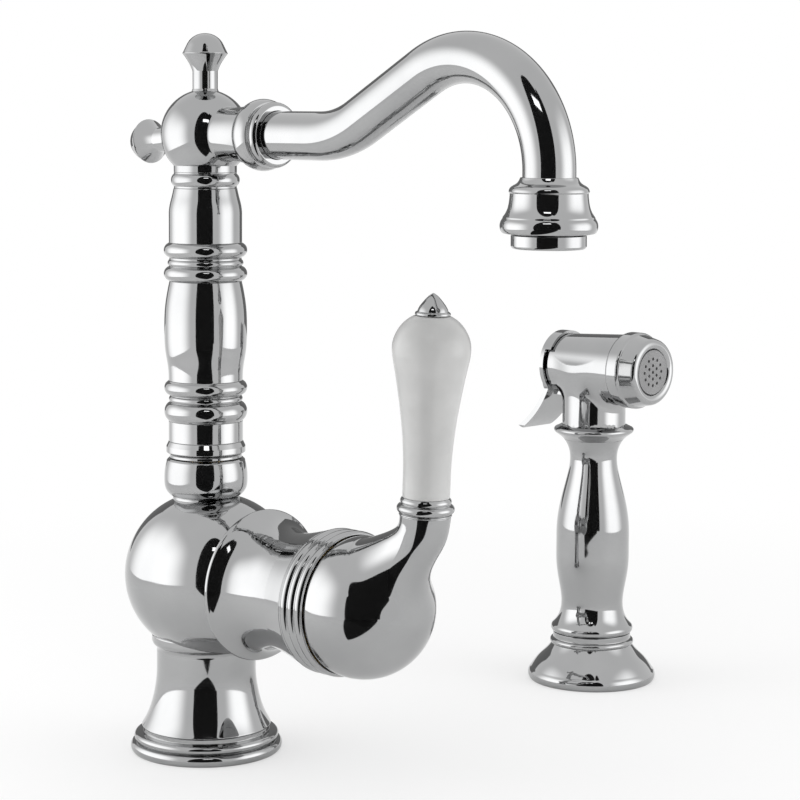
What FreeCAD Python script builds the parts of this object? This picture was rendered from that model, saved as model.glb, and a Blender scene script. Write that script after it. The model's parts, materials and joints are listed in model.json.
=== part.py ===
import FreeCAD, Part
import math
import os

# Bar faucet with a swan-neck spout, a ball-hub lever and a side spray.
# Millimetres, +Z up, origin where the tap's axis meets the deck, front of the tap towards -Y.

V = FreeCAD.Vector

# Fits
SLIP = 0.06              # radial clearance of pieces that turn or slide in one another
FIT = 0.10               # clearance of pieces that are put together and stay
RUN_GAP = 0.30           # gap between outer faces that move past each other
EDGE = 0.6               # broken edges

# Foot
FOOT_RIM_R = 30.0
FOOT_RIM_H = 4.0
FOOT_STEP_R = 28.6
FOOT_STEP_H = 3.6
FOOT_GROOVE_R = 25.0
FOOT_GROOVE_H = 2.2      # from the step to the lip of the flare
FOOT_LIP = 0.6
FOOT_WAIST_R = 19.6
FOOT_WAIST_Z = 33.0
FOOT_COLLAR_R = 21.5
FOOT_COLLAR_H = 4.4
FOOT_COLLAR_ROUND = 2.0  # rounded lower edge of the collar
FOOT_COVE_H = 2.4        # hollow under the collar
FOOT_H = 47.0
FOOT_HOLLOW_R = 21.0
FOOT_HOLLOW_H = 9.0
GASKET_R = 26.5
GASKET_W = 4.0
GASKET_H = 1.6

# Valve body: a ball, drawn out to the front, on a stub, with the valve barrel before it
BODY_R = 32.0
BODY_STRETCH = 6.0       # straight run between the back and the front of the ball
BODY_RISE = 23.6         # centre of the ball above the foot
BODY_FLAT = 3.0          # depth of the collar's seat in the top of the ball
STUB_R = 16.5
SEAM_T = 28.5            # distances T run forward from the column axis, along the valve axis
SWELL_R = 29.2
SWELL_T = 33.4
SWELL_LIP = 0.9          # width of the rounded lip to either side
SWELL_CROWN = 0.4        # rise of the lip over its two edges
BARREL_NECK_R = 22.5
BARREL_NECK_T = 48.5
BARREL_END_R = 26.6
BARREL_END_T = 71.2
STUD_R = 3.4             # tapped M8
STUD_DEPTH = 18.0
INLET_R = 4.5            # tapped M10 x 1
INLET_DEPTH = 15.0
INLET_RING_R = 10.2
INLET_COUNT = 3
WATERWAY_R = 3.5

# Swivel collar and riser
COLLAR_SPIGOT_R = 10.9
COLLAR_SPIGOT_L = 11.0
COLLAR_NECK_R = 13.0
COLLAR_LIP = 0.8         # foot of the bulb over the neck
COLLAR_NECK_H = 2.0
BULB_R = 16.4
BULB_H = 15.0
RISER_R = 9.0
RISER_WALL = 2.4
RISER_TAIL = 5.0         # below the collar spigot
SEAL_WIRE_R = 0.68
SEAL_COUNT = 2
SEAL_PITCH = 5.0
CLIP_R = 9.8
CLIP_H = 1.2

# Turned column, from the swivel up: radius and height of each piece
SWIVEL_RING_R = 15.6
SWIVEL_RING_H = 6.5
LOWER_SLEEVE_R = 14.6
LOWER_SLEEVE_H = 8.0
BEAD_R = 16.3
BEAD_H = 5.0
BIG_BEAD_H = 6.5
THIN_BEAD_H = 2.6
THIN_BEAD_STEP = 0.7     # thin bead over the bottom of its groove
BEAD_EDGE = 0.4          # height of the small step at the foot of a bead
LOWER_BEADS_H = 15.9
LOWER_GROOVE_R = 13.8
MIDDLE_SLEEVE_R = 16.2
MIDDLE_SLEEVE_H = 39.2
UPPER_BEADS_H = 15.0
UPPER_GROOVE_R = 14.1
UPPER_SLEEVE_R = 14.3
UPPER_SLEEVE_H = 21.3
CROWN_BEAD_R = 13.4
CROWN_BEAD_H = 6.2
CROWN_NECK_R = 12.3

# Crown ball and finials
CROWN_R = 17.4
CROWN_RISE = 14.9        # ball centre above the crown bead
CROWN_BOSS_R = 11.6
CROWN_WAIST_R = 10.4     # boss behind its flare
CROWN_BOSS_T = 29.4
CROWN_BLEND_T = 13.2     # where the hollow between ball and boss leaves the ball
CROWN_BLEND_L = 3.6
FINIAL_SEAT_R = 5.3
FINIAL_STUD_R = 3.0
FINIAL_STUD_L = 8.0
FINIAL_NECK_R = 4.9
FINIAL_NECK_L = 7.8
FINIAL_HEAD_R = 8.7
FINIAL_HEAD_L = 14.8     # widest part above the seat
FINIAL_L = 22.6
SIDE_FINIAL_NECK_L = 10.4
SIDE_FINIAL_DROOP = 5.5  # degrees

# Spout: level root, rise, and a bend over to the outlet
SPOUT_R = 9.1
SPOUT_WALL = 1.2
SPOUT_ROOT_T = 16.0
SPOUT_RISE_T = 65.5      # where the root starts to bend up
SPOUT_RISE_ANGLE = 29.0
SPOUT_LOW_BEND_R = 45.0
SPOUT_TOP_BEND_R = 39.0
SPOUT_REACH = 177.3
SPOUT_DROP = 10.9        # straight end below the top bend
SPOUT_COLLAR_R = 13.7
SPOUT_COLLAR_L = 12.6

# Nozzle and aerator; heights are from the end of the spout tube
NOZZLE_SOCKET = 9.0
NOZZLE_SHOULDER_R = 13.7
NOZZLE_BEAD_R = 16.65
NOZZLE_SKIRT = 10.2
AERATOR_R = 12.85
AERATOR_H = 4.6
AERATOR_THREAD_R = 11.7
AERATOR_THREAD_L = 5.6
AERATOR_BORE_R = 10.0
AERATOR_LIP_R = 9.0
AERATOR_WASHER_H = 1.1
AERATOR_HOLE_R = 1.1
AERATOR_HOLE_PITCH = 3.3

# Cartridge, along the valve axis
CAVITY_T = 48.7
CART_SEAL_H = 1.2
CART_R = 17.4
CART_SHOULDER_T = 61.7
CART_FLANGE_H = 2.5
CART_BARREL_R = 14.6
CART_BORE_R = 12.3
CART_NECK_T = 78.5
CART_END_T = 87.7
PORT_R = 2.6
PORT_RING_R = 7.0
NUT_R = 20.5
NUT_T = 58.9
NUT_END_T = 68.2
FIXED_DISC_T = 64.7
FIXED_DISC_H = 4.0
MOVING_DISC_R = 9.4
MOVING_DISC_H = 3.3
DISC_GAP = 0.10
DISC_TRAVEL = 5.07
SLIDER_X = 8.2
SLIDER_H = 9.0
SLIDER_L = 8.0
SLIDER_WALL = 1.5
TURRET_FLANGE_R = 12.2
TURRET_FLANGE_T = 72.7
TURRET_R = 10.6
TURRET_END_T = 95.7
TURRET_SLOT_X = 8.4
TURRET_SLOT_H = 19.6
TURRET_RING_L = 7.0
PIN_R = 2.0
PIN_L = 19.2

# Lever: the hub is a ball about the pivot of the stem
HUB_T = 89.6
HUB_R = 26.4
HUB_WALL = 2.8
HUB_RIM = 5.6            # rim plane behind the pivot
TRIM_R = 27.3
TRIM_SEAT_R = 20.8
TRIM_LIP_GAP = 0.4
DOME_GAP = 0.4
DOME_WALL = 1.2
DOME_FRONT_ANGLE = 30.0
DOME_BACK_ANGLE = 45.0
STEM_SIDE = 7.8
STEM_ARM = 12.0          # pivot to the ball end
STEM_BALL_R = 2.7
STEM_NECK_R = 1.9
STEM_SHANK_L = 5.0       # square shank behind the pivot
STEM_REACH = 21.0        # square end in front of the pivot
HUB_BOSS_R = 8.0
HUB_BOSS_T = 11.5        # back of the boss in front of the pivot
SET_SCREW_R = 2.5
SET_SCREW_L = 6.0
SET_SCREW_T = 16.0
SET_SCREW_KEY_R = 1.3
ARM_R = 9.3
ARM_FORWARD = 30.6       # top of the arm in front of the pivot
ARM_UP = 38.1            # top of the arm above the pivot
ARM_LEAN = 2.5           # lean of the grip away from the column, degrees
FERRULE_R = 10.5
FERRULE_H = 6.9
GRIP_FOOT_R = 8.6
GRIP_R = 14.1
GRIP_TOP_R = 6.4
GRIP_L = 65.4
ROD_R = 3.0
ROD_TAIL = 8.0
LEVER_FINIAL_R = 6.4
LEVER_FINIAL_L = 8.2
LEVER_FINIAL_BAND = 1.3

# Diverter in the middle of the body
DIVERTER_R = 8.0
DIVERTER_DROP = 10.6     # foot of the sleeve below the centre of the ball
DIVERTER_L = 20.0
DIVERTER_WALL = 1.9
PISTON_L = 6.6
PISTON_LIFT = 2.0        # thickness of the seat the piston rests on

# Side spray, on an axis of its own; heights from the deck
SPRAY_X = 196.6
SPRAY_Y = -35.1
HOLDER_R = 28.3
HOLDER_RIM_H = 5.0
HOLDER_BELL_H = 16.0
HOLDER_NECK_R = 18.2
HOLDER_LIP_R = 17.2
HOLDER_H = 21.2
HOLDER_THREAD_R = 13.0
HOLDER_THREAD_L = 9.0
HOLDER_SEAT_R = 14.0
HOLDER_GASKET_R = 25.5
HOLDER_GASKET_W = 4.5
HOLDER_GASKET_H = 1.2
BUSH_BORE_R = 12.4
SPIGOT_Z = 10.0
HANDLE_LIP_R = 18.2
HANDLE_LIP_H = 3.4
HANDLE_WAIST_R = 13.8
HANDLE_SWELL_R = 16.2
HANDLE_NECK_R = 10.5
HANDLE_TOP_R = 13.4
HANDLE_H = 86.5          # from the lip to the flange
HOSE_INLET_R = 4.5
HOSE_INLET_DEPTH = 14.0
HANDLE_BORE_R = 3.6
FLANGE_R = 17.7
FLANGE_H = 6.2
HEAD_STEM_R = 7.9
HEAD_STEM_L = 16.0
HEAD_NECK_R = 14.0
HEAD_RISE = 26.1         # head axis above the flange
HEAD_BACK_R = 13.4
HEAD_FRONT_R = 15.4
HEAD_BACK = 17.0
HEAD_FRONT = 18.8
HEAD_SPIGOT_R = 13.0
HEAD_SPIGOT_L = 9.5
HEAD_CHAMBER_R = 5.6
HEAD_CHAMBER_BACK = 2.0
HEAD_BLEND_R = 4.0
BEZEL_R = 16.7
BEZEL_L = 15.0
BEZEL_BAND_L = 7.4       # straight band behind the taper
BEZEL_FRONT_R = 13.6
BEZEL_MOUTH_R = 9.8
FACE_SEAL_H = 1.2
FACE_FLANGE_H = 1.6
FACE_RECESS = 0.9
FACE_HOLE_R = 0.7
FACE_HOLE_PITCH = 2.9
THUMB_GAP = 0.5
THUMB_WALL = 2.0
THUMB_R = 14.9
THUMB_W = 20.4
THUMB_FLARE_Z = 9.0      # below the head axis, where the paddle starts to flare
THUMB_DROP = 30.0        # paddle tip below the head axis
THUMB_FLARE = 16.2       # how far the paddle tip stands out
THUMB_CORNER = 1.2
HOOD_GAP = 0.4
HOOD_L = 3.0
HOOD_Z = 7.2             # lower edge of the hood above the head axis
THUMB_PIN_R = 1.4
THUMB_PIN_DROP = 10.3    # pin below the head axis
THUMB_PIN_BACK = 3.0     # pin in front of the back of the head
THUMB_EAR_W = 3.0
THUMB_EAR_X = 3.2        # inner face of an ear from the middle
THUMB_EAR_R = 3.2
VALVE_STEM_R = 1.8
VALVE_STEM_FRONT = 4.0
POPPET_R = 5.0
POPPET_L = 2.5
STEM_HEAD_R = 3.6
STEM_HEAD_L = 1.5
STEM_SLOT_W = 4.6
STEM_SLOT_UP = 2.4
STEM_SLOT_DOWN = 2.4
STEM_SLOT_PLAY = 2.0     # extra height of the slot, for the rocking of the lever

# Heights that follow from the sizes above
BODY_Z = FOOT_H + BODY_RISE
BODY_TOP_Z = BODY_Z + BODY_R - BODY_FLAT
DIVERTER_Z = BODY_Z - DIVERTER_DROP
COLLAR_TOP_Z = BODY_TOP_Z + COLLAR_NECK_H + BULB_H
COLUMN_Z = COLLAR_TOP_Z + RUN_GAP
LOWER_SLEEVE_Z = COLUMN_Z + SWIVEL_RING_H
LOWER_BEADS_Z = LOWER_SLEEVE_Z + LOWER_SLEEVE_H
MIDDLE_SLEEVE_Z = LOWER_BEADS_Z + LOWER_BEADS_H
UPPER_BEADS_Z = MIDDLE_SLEEVE_Z + MIDDLE_SLEEVE_H
UPPER_SLEEVE_Z = UPPER_BEADS_Z + UPPER_BEADS_H
CROWN_BEAD_Z = UPPER_SLEEVE_Z + UPPER_SLEEVE_H
CROWN_BASE_Z = CROWN_BEAD_Z + CROWN_BEAD_H
CROWN_Z = CROWN_BASE_Z + CROWN_RISE
SPIGOT_END_Z = BODY_TOP_Z - COLLAR_SPIGOT_L
RISER_Z = SPIGOT_END_Z - RISER_TAIL
RISER_BORE = RISER_R + FIT
RISER_TOP_Z = CROWN_BASE_Z + CROWN_RISE / 2
HEAD_Z = HOLDER_H + RUN_GAP + HANDLE_H + FLANGE_H + HEAD_RISE

NODES = {}


def keep(name, shape):
    """Stores a finished piece under its node name."""
    NODES[name] = shape.removeSplitter() if len(shape.Solids) == 1 else shape


def outline_edges(start, steps, plane):
    """Edges from point to point: a pair is a straight run, and an arc or a curve has points of its own."""
    edges = []
    here = start
    for step in steps:
        if step[0] == "arc":
            middle, end = step[1], step[2]
            edges.append(Part.Arc(plane(here), plane(middle), plane(end)).toShape())
        elif step[0] == "curve":
            end = step[1][-1]
            curve = Part.BSplineCurve()
            curve.interpolate([plane(point) for point in [here] + step[1]])
            edges.append(curve.toShape())
        else:
            end = step
            edges.append(Part.LineSegment(plane(here), plane(end)).toShape())
        here = end
    edges.append(Part.LineSegment(plane(here), plane(start)).toShape())
    return edges


def turned(start, *steps):
    """A solid turned about Z from an outline of radius and height."""
    edges = outline_edges(start, steps, lambda point: V(point[0], 0, point[1]))
    return Part.Face(Part.Wire(edges)).revolve(V(0, 0, 0), V(0, 0, 1), 360)


def plate(start, steps, plane, thickness):
    """A flat outline pushed out along a vector."""
    return Part.Face(Part.Wire(outline_edges(start, steps, plane))).extrude(thickness)


def rod(radius, low, high, x=0.0, y=0.0):
    """A round bar along Z."""
    return Part.makeCylinder(radius, high - low, V(x, y, low))


def tube(outer, inner, low, high):
    return rod(outer, low, high).cut(rod(inner, low - 1, high + 1))


def ball(radius, height):
    return Part.makeSphere(radius, V(0, 0, height))


def block(size_x, low_y, high_y, low_z, high_z):
    """A box centred on X = 0."""
    return Part.makeBox(size_x, high_y - low_y, high_z - low_z, V(-size_x / 2, low_y, low_z))


def cross_bar(radius, length, y, z):
    """A round bar along X, centred on X = 0."""
    return Part.makeCylinder(radius, length, V(-length / 2, y, z), V(1, 0, 0))


def ring_of(count, ring_r, make):
    """Copies of a shape spaced evenly on a circle."""
    step = 2 * math.pi / count
    return [make(ring_r * math.cos(step * i + math.pi / 2), ring_r * math.sin(step * i + math.pi / 2))
            for i in range(count)]


def rosette(pitch, rings, make):
    """Copies of a shape in the middle and on rings of six, twelve and so on."""
    shapes = [make(0.0, 0.0)]
    for ring in range(1, rings + 1):
        shapes += ring_of(6 * ring, pitch * ring, make)
    return shapes


def placed(shape, origin, tilt):
    """Turns a shape about X by a tilt in degrees, then moves it."""
    shape.Placement = FreeCAD.Placement(origin, FreeCAD.Rotation(V(1, 0, 0), tilt))
    return shape


FORWARD = 90             # tilt that lays a piece made along Z towards the front


def on_valve_axis(shape):
    return placed(shape, V(0, 0, BODY_Z), FORWARD)


def on_spray(shape):
    shape.Placement = FreeCAD.Placement(V(SPRAY_X, SPRAY_Y, 0), FreeCAD.Rotation())
    return shape


def on_head_axis(shape):
    """Lays a piece made along Z towards the front of the spray head."""
    return placed(shape, V(SPRAY_X, SPRAY_Y, HEAD_Z), FORWARD)


def bead(root_r, crest_r, low, high):
    """Steps of an outline that go over a rounded bead."""
    return [(root_r, low), ("arc", (crest_r, (low + high) / 2), (root_r, high))]


def drawn_ball(radius):
    """Ball drawn out along the valve axis: two half balls with a straight run between them."""
    slant = radius * math.sqrt(0.5)
    return on_valve_axis(turned(
        (0, -radius), ("arc", (slant, -slant), (radius, 0)), (radius, BODY_STRETCH),
        ("arc", (slant, BODY_STRETCH + slant), (0, BODY_STRETCH + radius))))


def make_foot():
    """Bell-shaped foot with a stepped rim, a collar under the ball and a gasket let into its underside."""
    rim_root = FOOT_RIM_R - 0.9
    step_low = FOOT_RIM_H + 0.3
    step_high = FOOT_RIM_H + FOOT_STEP_H
    step_root = FOOT_STEP_R - 1.2
    groove_z = step_high + 0.4
    flare_r = FOOT_GROOVE_R + FOOT_LIP
    flare_z = groove_z + FOOT_GROOVE_H
    flare_h = FOOT_WAIST_Z - flare_z
    flare_w = flare_r - FOOT_WAIST_R
    collar_z = FOOT_H - FOOT_COLLAR_H
    bore = STUB_R + FIT
    foot = turned(
        (bore, 0), (rim_root, 0), ("arc", (FOOT_RIM_R, FOOT_RIM_H / 2), (rim_root, FOOT_RIM_H)),
        (step_root, step_low), ("arc", (FOOT_STEP_R, (step_low + step_high) / 2), (step_root, step_high)),
        (FOOT_GROOVE_R, groove_z), (FOOT_GROOVE_R, flare_z - FOOT_LIP), (flare_r, flare_z),
        ("curve", [(FOOT_WAIST_R + 0.6 * flare_w, flare_z + 0.2 * flare_h),
                   (FOOT_WAIST_R + 0.2 * flare_w, flare_z + 0.54 * flare_h),
                   (FOOT_WAIST_R, FOOT_WAIST_Z)]),
        (FOOT_WAIST_R, collar_z - FOOT_COVE_H),
        ("arc", (FOOT_WAIST_R + FOOT_COVE_H / 8, collar_z - FOOT_COVE_H / 3),
         (FOOT_COLLAR_R - 0.45 * FOOT_COLLAR_ROUND, collar_z)),
        ("arc", (FOOT_COLLAR_R - FOOT_COLLAR_ROUND / 10, collar_z + FOOT_COLLAR_ROUND / 2),
         (FOOT_COLLAR_R, collar_z + FOOT_COLLAR_ROUND)),
        (FOOT_COLLAR_R, FOOT_H - EDGE), (FOOT_COLLAR_R - EDGE, FOOT_H), (bore, FOOT_H))
    foot = foot.cut(rod(FOOT_HOLLOW_R, -1, FOOT_HOLLOW_H))
    foot = foot.cut(tube(GASKET_R + FIT, GASKET_R - GASKET_W - FIT, -1, GASKET_H))
    keep("base_foot", foot.cut(drawn_ball(BODY_R + FIT)))
    keep("base_gasket", tube(GASKET_R, GASKET_R - GASKET_W, 0, GASKET_H))


def make_valve_body():
    """Ball with a stub for the deck fixing and a barrel for the cartridge."""
    seam_r = math.sqrt(BODY_R ** 2 - (SEAM_T - BODY_STRETCH) ** 2)
    lip_end = SWELL_T + SWELL_LIP
    lip_r = SWELL_R - SWELL_CROWN
    fall = BARREL_NECK_T - lip_end
    drop = SWELL_R - BARREL_NECK_R
    flare = BARREL_END_T - BARREL_NECK_T
    rise = BARREL_END_R - BARREL_NECK_R
    barrel = turned(
        (0, 0), (seam_r, 0), (seam_r, SEAM_T),
        (lip_r, SWELL_T - SWELL_LIP), ("arc", (SWELL_R, SWELL_T), (lip_r, lip_end)),
        ("curve", [(SWELL_R - 0.41 * drop, lip_end + 0.14 * fall),
                   (SWELL_R - 0.68 * drop, lip_end + 0.32 * fall),
                   (SWELL_R - 0.89 * drop, lip_end + 0.6 * fall),
                   (BARREL_NECK_R, BARREL_NECK_T),
                   (BARREL_NECK_R + 0.25 * rise, BARREL_NECK_T + 0.45 * flare),
                   (BARREL_END_R, BARREL_END_T)]),
        (0, BARREL_END_T))
    body = drawn_ball(BODY_R).fuse([on_valve_axis(barrel), rod(STUB_R, 0, BODY_Z)])
    cuts = [on_valve_axis(rod(CART_R + FIT, CAVITY_T, BARREL_END_T + 1)),
            on_valve_axis(rod(NUT_R + FIT, NUT_T - 0.2, BARREL_END_T + 1)),
            on_valve_axis(rod(WATERWAY_R, 0, CAVITY_T + 1)),
            rod(COLLAR_NECK_R + COLLAR_LIP + RUN_GAP, BODY_TOP_Z, BODY_Z + BODY_R + 1),
            rod(COLLAR_SPIGOT_R + FIT, SPIGOT_END_Z, BODY_TOP_Z + 1),
            rod(CLIP_R + RUN_GAP, DIVERTER_Z + DIVERTER_L, BODY_TOP_Z),
            rod(DIVERTER_R + FIT, DIVERTER_Z, BODY_TOP_Z),
            rod(STUD_R, -1, STUD_DEPTH)]
    cuts += ring_of(INLET_COUNT, INLET_RING_R, lambda x, y: rod(INLET_R, -1, INLET_DEPTH, x, y))
    keep("valve_body", body.cut(cuts))


def make_swivel():
    """Bulb collar screwed into the ball, and the riser that turns in it with its seals and clip."""
    neck_top = BODY_TOP_Z + COLLAR_NECK_H
    bulb_foot = COLLAR_NECK_R + COLLAR_LIP
    bulb_top = BULB_R - 1.0
    bore = RISER_R + SLIP
    keep("swivel_collar", turned(
        (bore, SPIGOT_END_Z), (COLLAR_SPIGOT_R, SPIGOT_END_Z), (COLLAR_SPIGOT_R, BODY_TOP_Z),
        *bead(COLLAR_NECK_R - 0.3, COLLAR_NECK_R, BODY_TOP_Z, neck_top),
        (bulb_foot, neck_top + 0.3),
        ("curve", [(BULB_R - 0.5, neck_top + 0.2 * BULB_H), (BULB_R, neck_top + 0.45 * BULB_H),
                   (BULB_R - 0.3, neck_top + 0.75 * BULB_H), (bulb_top, neck_top + 0.95 * BULB_H)]),
        (bulb_top - 0.8, COLLAR_TOP_Z), (bore, COLLAR_TOP_Z)))
    riser = tube(RISER_R, RISER_R - RISER_WALL, RISER_Z, RISER_TOP_Z)
    groove_r = RISER_R - 2 * SEAL_WIRE_R - FIT
    seals = []
    for i in range(SEAL_COUNT):
        z = SPIGOT_END_Z + COLLAR_SPIGOT_L / 2 + i * SEAL_PITCH
        riser = riser.cut(tube(RISER_R + 1, groove_r, z - SEAL_WIRE_R - FIT, z + SEAL_WIRE_R + FIT))
        seals.append(Part.makeTorus(groove_r + SEAL_WIRE_R + FIT / 2, SEAL_WIRE_R, V(0, 0, z)))
    clip_top = SPIGOT_END_Z - RUN_GAP
    riser = riser.cut(tube(RISER_R + 1, groove_r, clip_top - CLIP_H - FIT, clip_top + FIT))
    clip = tube(CLIP_R, groove_r + FIT, clip_top - CLIP_H, clip_top)
    keep("riser_tube", riser)
    keep("riser_seals", Part.makeCompound(seals))
    keep("riser_clip", clip.cut(block(RISER_R / 2, 0, CLIP_R + 1, clip_top - CLIP_H - 1, clip_top + 1)))


def bead_ring(low, high, low_bead_h, groove_r, end_r):
    """Ring of two beads, with a thin bead in the groove between them, close above the lower one."""
    root = BEAD_R - 1.4
    e = BEAD_EDGE
    thin = low + 2 * e + low_bead_h
    return turned(
        (RISER_BORE, low), (end_r, low), *bead(root, BEAD_R, low + e, low + e + low_bead_h),
        *bead(groove_r, groove_r + THIN_BEAD_STEP, thin, thin + THIN_BEAD_H),
        (groove_r, high - BEAD_H - 2 * e), *bead(root, BEAD_R, high - BEAD_H - e, high - e),
        (end_r, high), (RISER_BORE, high))


def make_column():
    """Turned sleeves and bead rings stacked on the riser."""
    b = RISER_BORE
    z = COLUMN_Z
    top = LOWER_SLEEVE_Z
    groove = SWIVEL_RING_R - 1.4
    keep("swivel_ring", turned(
        (b, z), (groove, z), (groove, z + 1.2), (SWIVEL_RING_R, z + 2.2), (SWIVEL_RING_R, z + 4.4),
        (LOWER_SLEEVE_R, top), (b, top)))
    z, top = top, LOWER_BEADS_Z
    keep("lower_sleeve", tube(LOWER_SLEEVE_R, b, z, top))
    z, top = top, MIDDLE_SLEEVE_Z
    keep("lower_bead_ring", bead_ring(z, top, BIG_BEAD_H, LOWER_GROOVE_R, LOWER_SLEEVE_R))
    z, top = top, UPPER_BEADS_Z
    h = MIDDLE_SLEEVE_H
    swell = MIDDLE_SLEEVE_R
    keep("middle_sleeve", turned(
        (b, z), (swell - 1.65, z),
        ("curve", [(swell - 1.4, z + 0.13 * h), (swell - 0.4, z + 0.29 * h), (swell, z + 0.5 * h),
                   (swell - 0.3, z + 0.73 * h), (swell - 1.2, z + 0.89 * h), (swell - 2.1, top)]),
        (b, top)))
    z, top = top, UPPER_SLEEVE_Z
    keep("upper_bead_ring", bead_ring(z, top, BEAD_H, UPPER_GROOVE_R, UPPER_SLEEVE_R))
    z, top = top, CROWN_BEAD_Z
    h = UPPER_SLEEVE_H
    keep("upper_sleeve", turned(
        (b, z), (UPPER_SLEEVE_R, z), (UPPER_SLEEVE_R, z + 0.56 * h),
        ("curve", [(UPPER_SLEEVE_R - 0.4, z + 0.7 * h), (UPPER_SLEEVE_R - 1.2, z + 0.85 * h),
                   (CROWN_NECK_R + 0.1, top)]),
        (b, top)))
    z, top = top, CROWN_BASE_Z
    keep("crown_bead", turned(
        (b, z), (CROWN_NECK_R, z), *bead(CROWN_BEAD_R - 1.2, CROWN_BEAD_R, z + 0.8, top - 0.5),
        (CROWN_NECK_R, top), (b, top)))


def finial(neck_end):
    """Turned button on a neck, with a stud below its seat."""
    cove_l = FINIAL_HEAD_L - FINIAL_NECK_L
    cove_r = FINIAL_HEAD_R - FINIAL_NECK_R
    dome = FINIAL_L - FINIAL_HEAD_L
    widest = neck_end + cove_l
    return turned(
        (0, -FINIAL_STUD_L), (FINIAL_STUD_R, -FINIAL_STUD_L), (FINIAL_STUD_R, 0), (FINIAL_SEAT_R, 0),
        (FINIAL_NECK_R, 1.0), (FINIAL_NECK_R, neck_end),
        ("curve", [(FINIAL_NECK_R + 0.27 * cove_r, neck_end + 0.36 * cove_l),
                   (FINIAL_NECK_R + 0.62 * cove_r, neck_end + 0.68 * cove_l),
                   (FINIAL_HEAD_R, widest - 0.2)]),
        ("arc", (FINIAL_HEAD_R + 0.1, widest), (FINIAL_HEAD_R - 0.1, widest + 0.3)),
        ("curve", [(0.87 * FINIAL_HEAD_R, widest + 0.32 * dome),
                   (0.72 * FINIAL_HEAD_R, widest + 0.62 * dome),
                   (0.44 * FINIAL_HEAD_R, widest + 0.88 * dome),
                   (0, widest + dome)]))


def make_crown():
    """Ball that joins the column, the spout and the two finials."""
    seat = math.sqrt(CROWN_R ** 2 - FINIAL_SEAT_R ** 2)
    centre = V(0, 0, CROWN_Z)
    blend_r = math.sqrt(CROWN_R ** 2 - CROWN_BLEND_T ** 2)
    hollow = blend_r - CROWN_WAIST_R
    waist_t = CROWN_BLEND_T + CROWN_BLEND_L
    boss = turned(
        (0, 0), (blend_r, 0), (blend_r, CROWN_BLEND_T),
        ("curve", [(CROWN_WAIST_R + 0.32 * hollow, CROWN_BLEND_T + 0.2 * CROWN_BLEND_L),
                   (CROWN_WAIST_R + 0.06 * hollow, CROWN_BLEND_T + 0.55 * CROWN_BLEND_L),
                   (CROWN_WAIST_R, waist_t),
                   (0.87 * CROWN_WAIST_R + 0.13 * CROWN_BOSS_R, 0.63 * waist_t + 0.37 * CROWN_BOSS_T),
                   (CROWN_BOSS_R, CROWN_BOSS_T)]),
        (0, CROWN_BOSS_T))
    crown = ball(CROWN_R, CROWN_Z).fuse([rod(CROWN_NECK_R, CROWN_BASE_Z, CROWN_Z),
                                         placed(boss, centre, FORWARD)])
    stud_hole = rod(FINIAL_STUD_R + FIT, seat - FINIAL_STUD_L - 1, seat + 1)
    seat_face = rod(CROWN_R, seat, CROWN_R + 1)
    cuts = [rod(CROWN_R, CROWN_Z - CROWN_R - 1, CROWN_BASE_Z),
            rod(RISER_BORE, CROWN_BASE_Z - 1, RISER_TOP_Z + FIT),
            rod(RISER_R - RISER_WALL, RISER_TOP_Z, CROWN_Z),
            placed(rod(SPOUT_R + FIT, SPOUT_ROOT_T - FIT, CROWN_BOSS_T + 1), centre, FORWARD),
            placed(rod(SPOUT_R - SPOUT_WALL, 0, SPOUT_ROOT_T), centre, FORWARD)]
    droop = FORWARD + SIDE_FINIAL_DROOP
    for tilt in (0, -droop):
        cuts += [placed(stud_hole.copy(), centre, tilt), placed(seat_face.copy(), centre, tilt)]
    keep("crown_ball", crown.cut(cuts))
    lean = math.radians(droop)
    side_seat = centre + V(0, seat * math.sin(lean), seat * math.cos(lean))
    keep("top_finial", placed(finial(FINIAL_NECK_L), centre + V(0, 0, seat), 0))
    keep("side_finial", placed(finial(SIDE_FINIAL_NECK_L), side_seat, -droop))


def spout_path():
    """Centre line of the spout, as straight runs and arcs in the plane X = 0, and the height of its end."""
    rise = math.radians(SPOUT_RISE_ANGLE)
    low, top = SPOUT_LOW_BEND_R, SPOUT_TOP_BEND_R
    run = (SPOUT_REACH - SPOUT_RISE_T - (low + top) * math.sin(rise) - top) / math.cos(rise)

    def low_bend(angle):
        return V(0, -SPOUT_RISE_T - low * math.sin(angle), CROWN_Z + low * (1 - math.cos(angle)))

    foot = low_bend(rise)
    head = foot + V(0, -run * math.cos(rise), run * math.sin(rise))
    centre = head + V(0, -top * math.sin(rise), -top * math.cos(rise))
    crest = centre + V(0, -top * math.sin(math.pi / 4), top * math.cos(math.pi / 4))
    over = centre + V(0, -top, 0)
    end = over - V(0, 0, SPOUT_DROP)
    edges = [Part.LineSegment(V(0, -SPOUT_ROOT_T, CROWN_Z), low_bend(0)).toShape(),
             Part.Arc(low_bend(0), low_bend(rise / 2), foot).toShape(),
             Part.LineSegment(foot, head).toShape(),
             Part.Arc(head, crest, over).toShape(),
             Part.LineSegment(over, end).toShape()]
    return Part.Wire(edges), end


def swept(wire, radius):
    """Round section carried along the spout's centre line."""
    circle = Part.Circle(V(0, -SPOUT_ROOT_T, CROWN_Z), V(0, -1, 0), radius)
    return wire.makePipeShell([Part.Wire(circle.toShape())], True, False)


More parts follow.
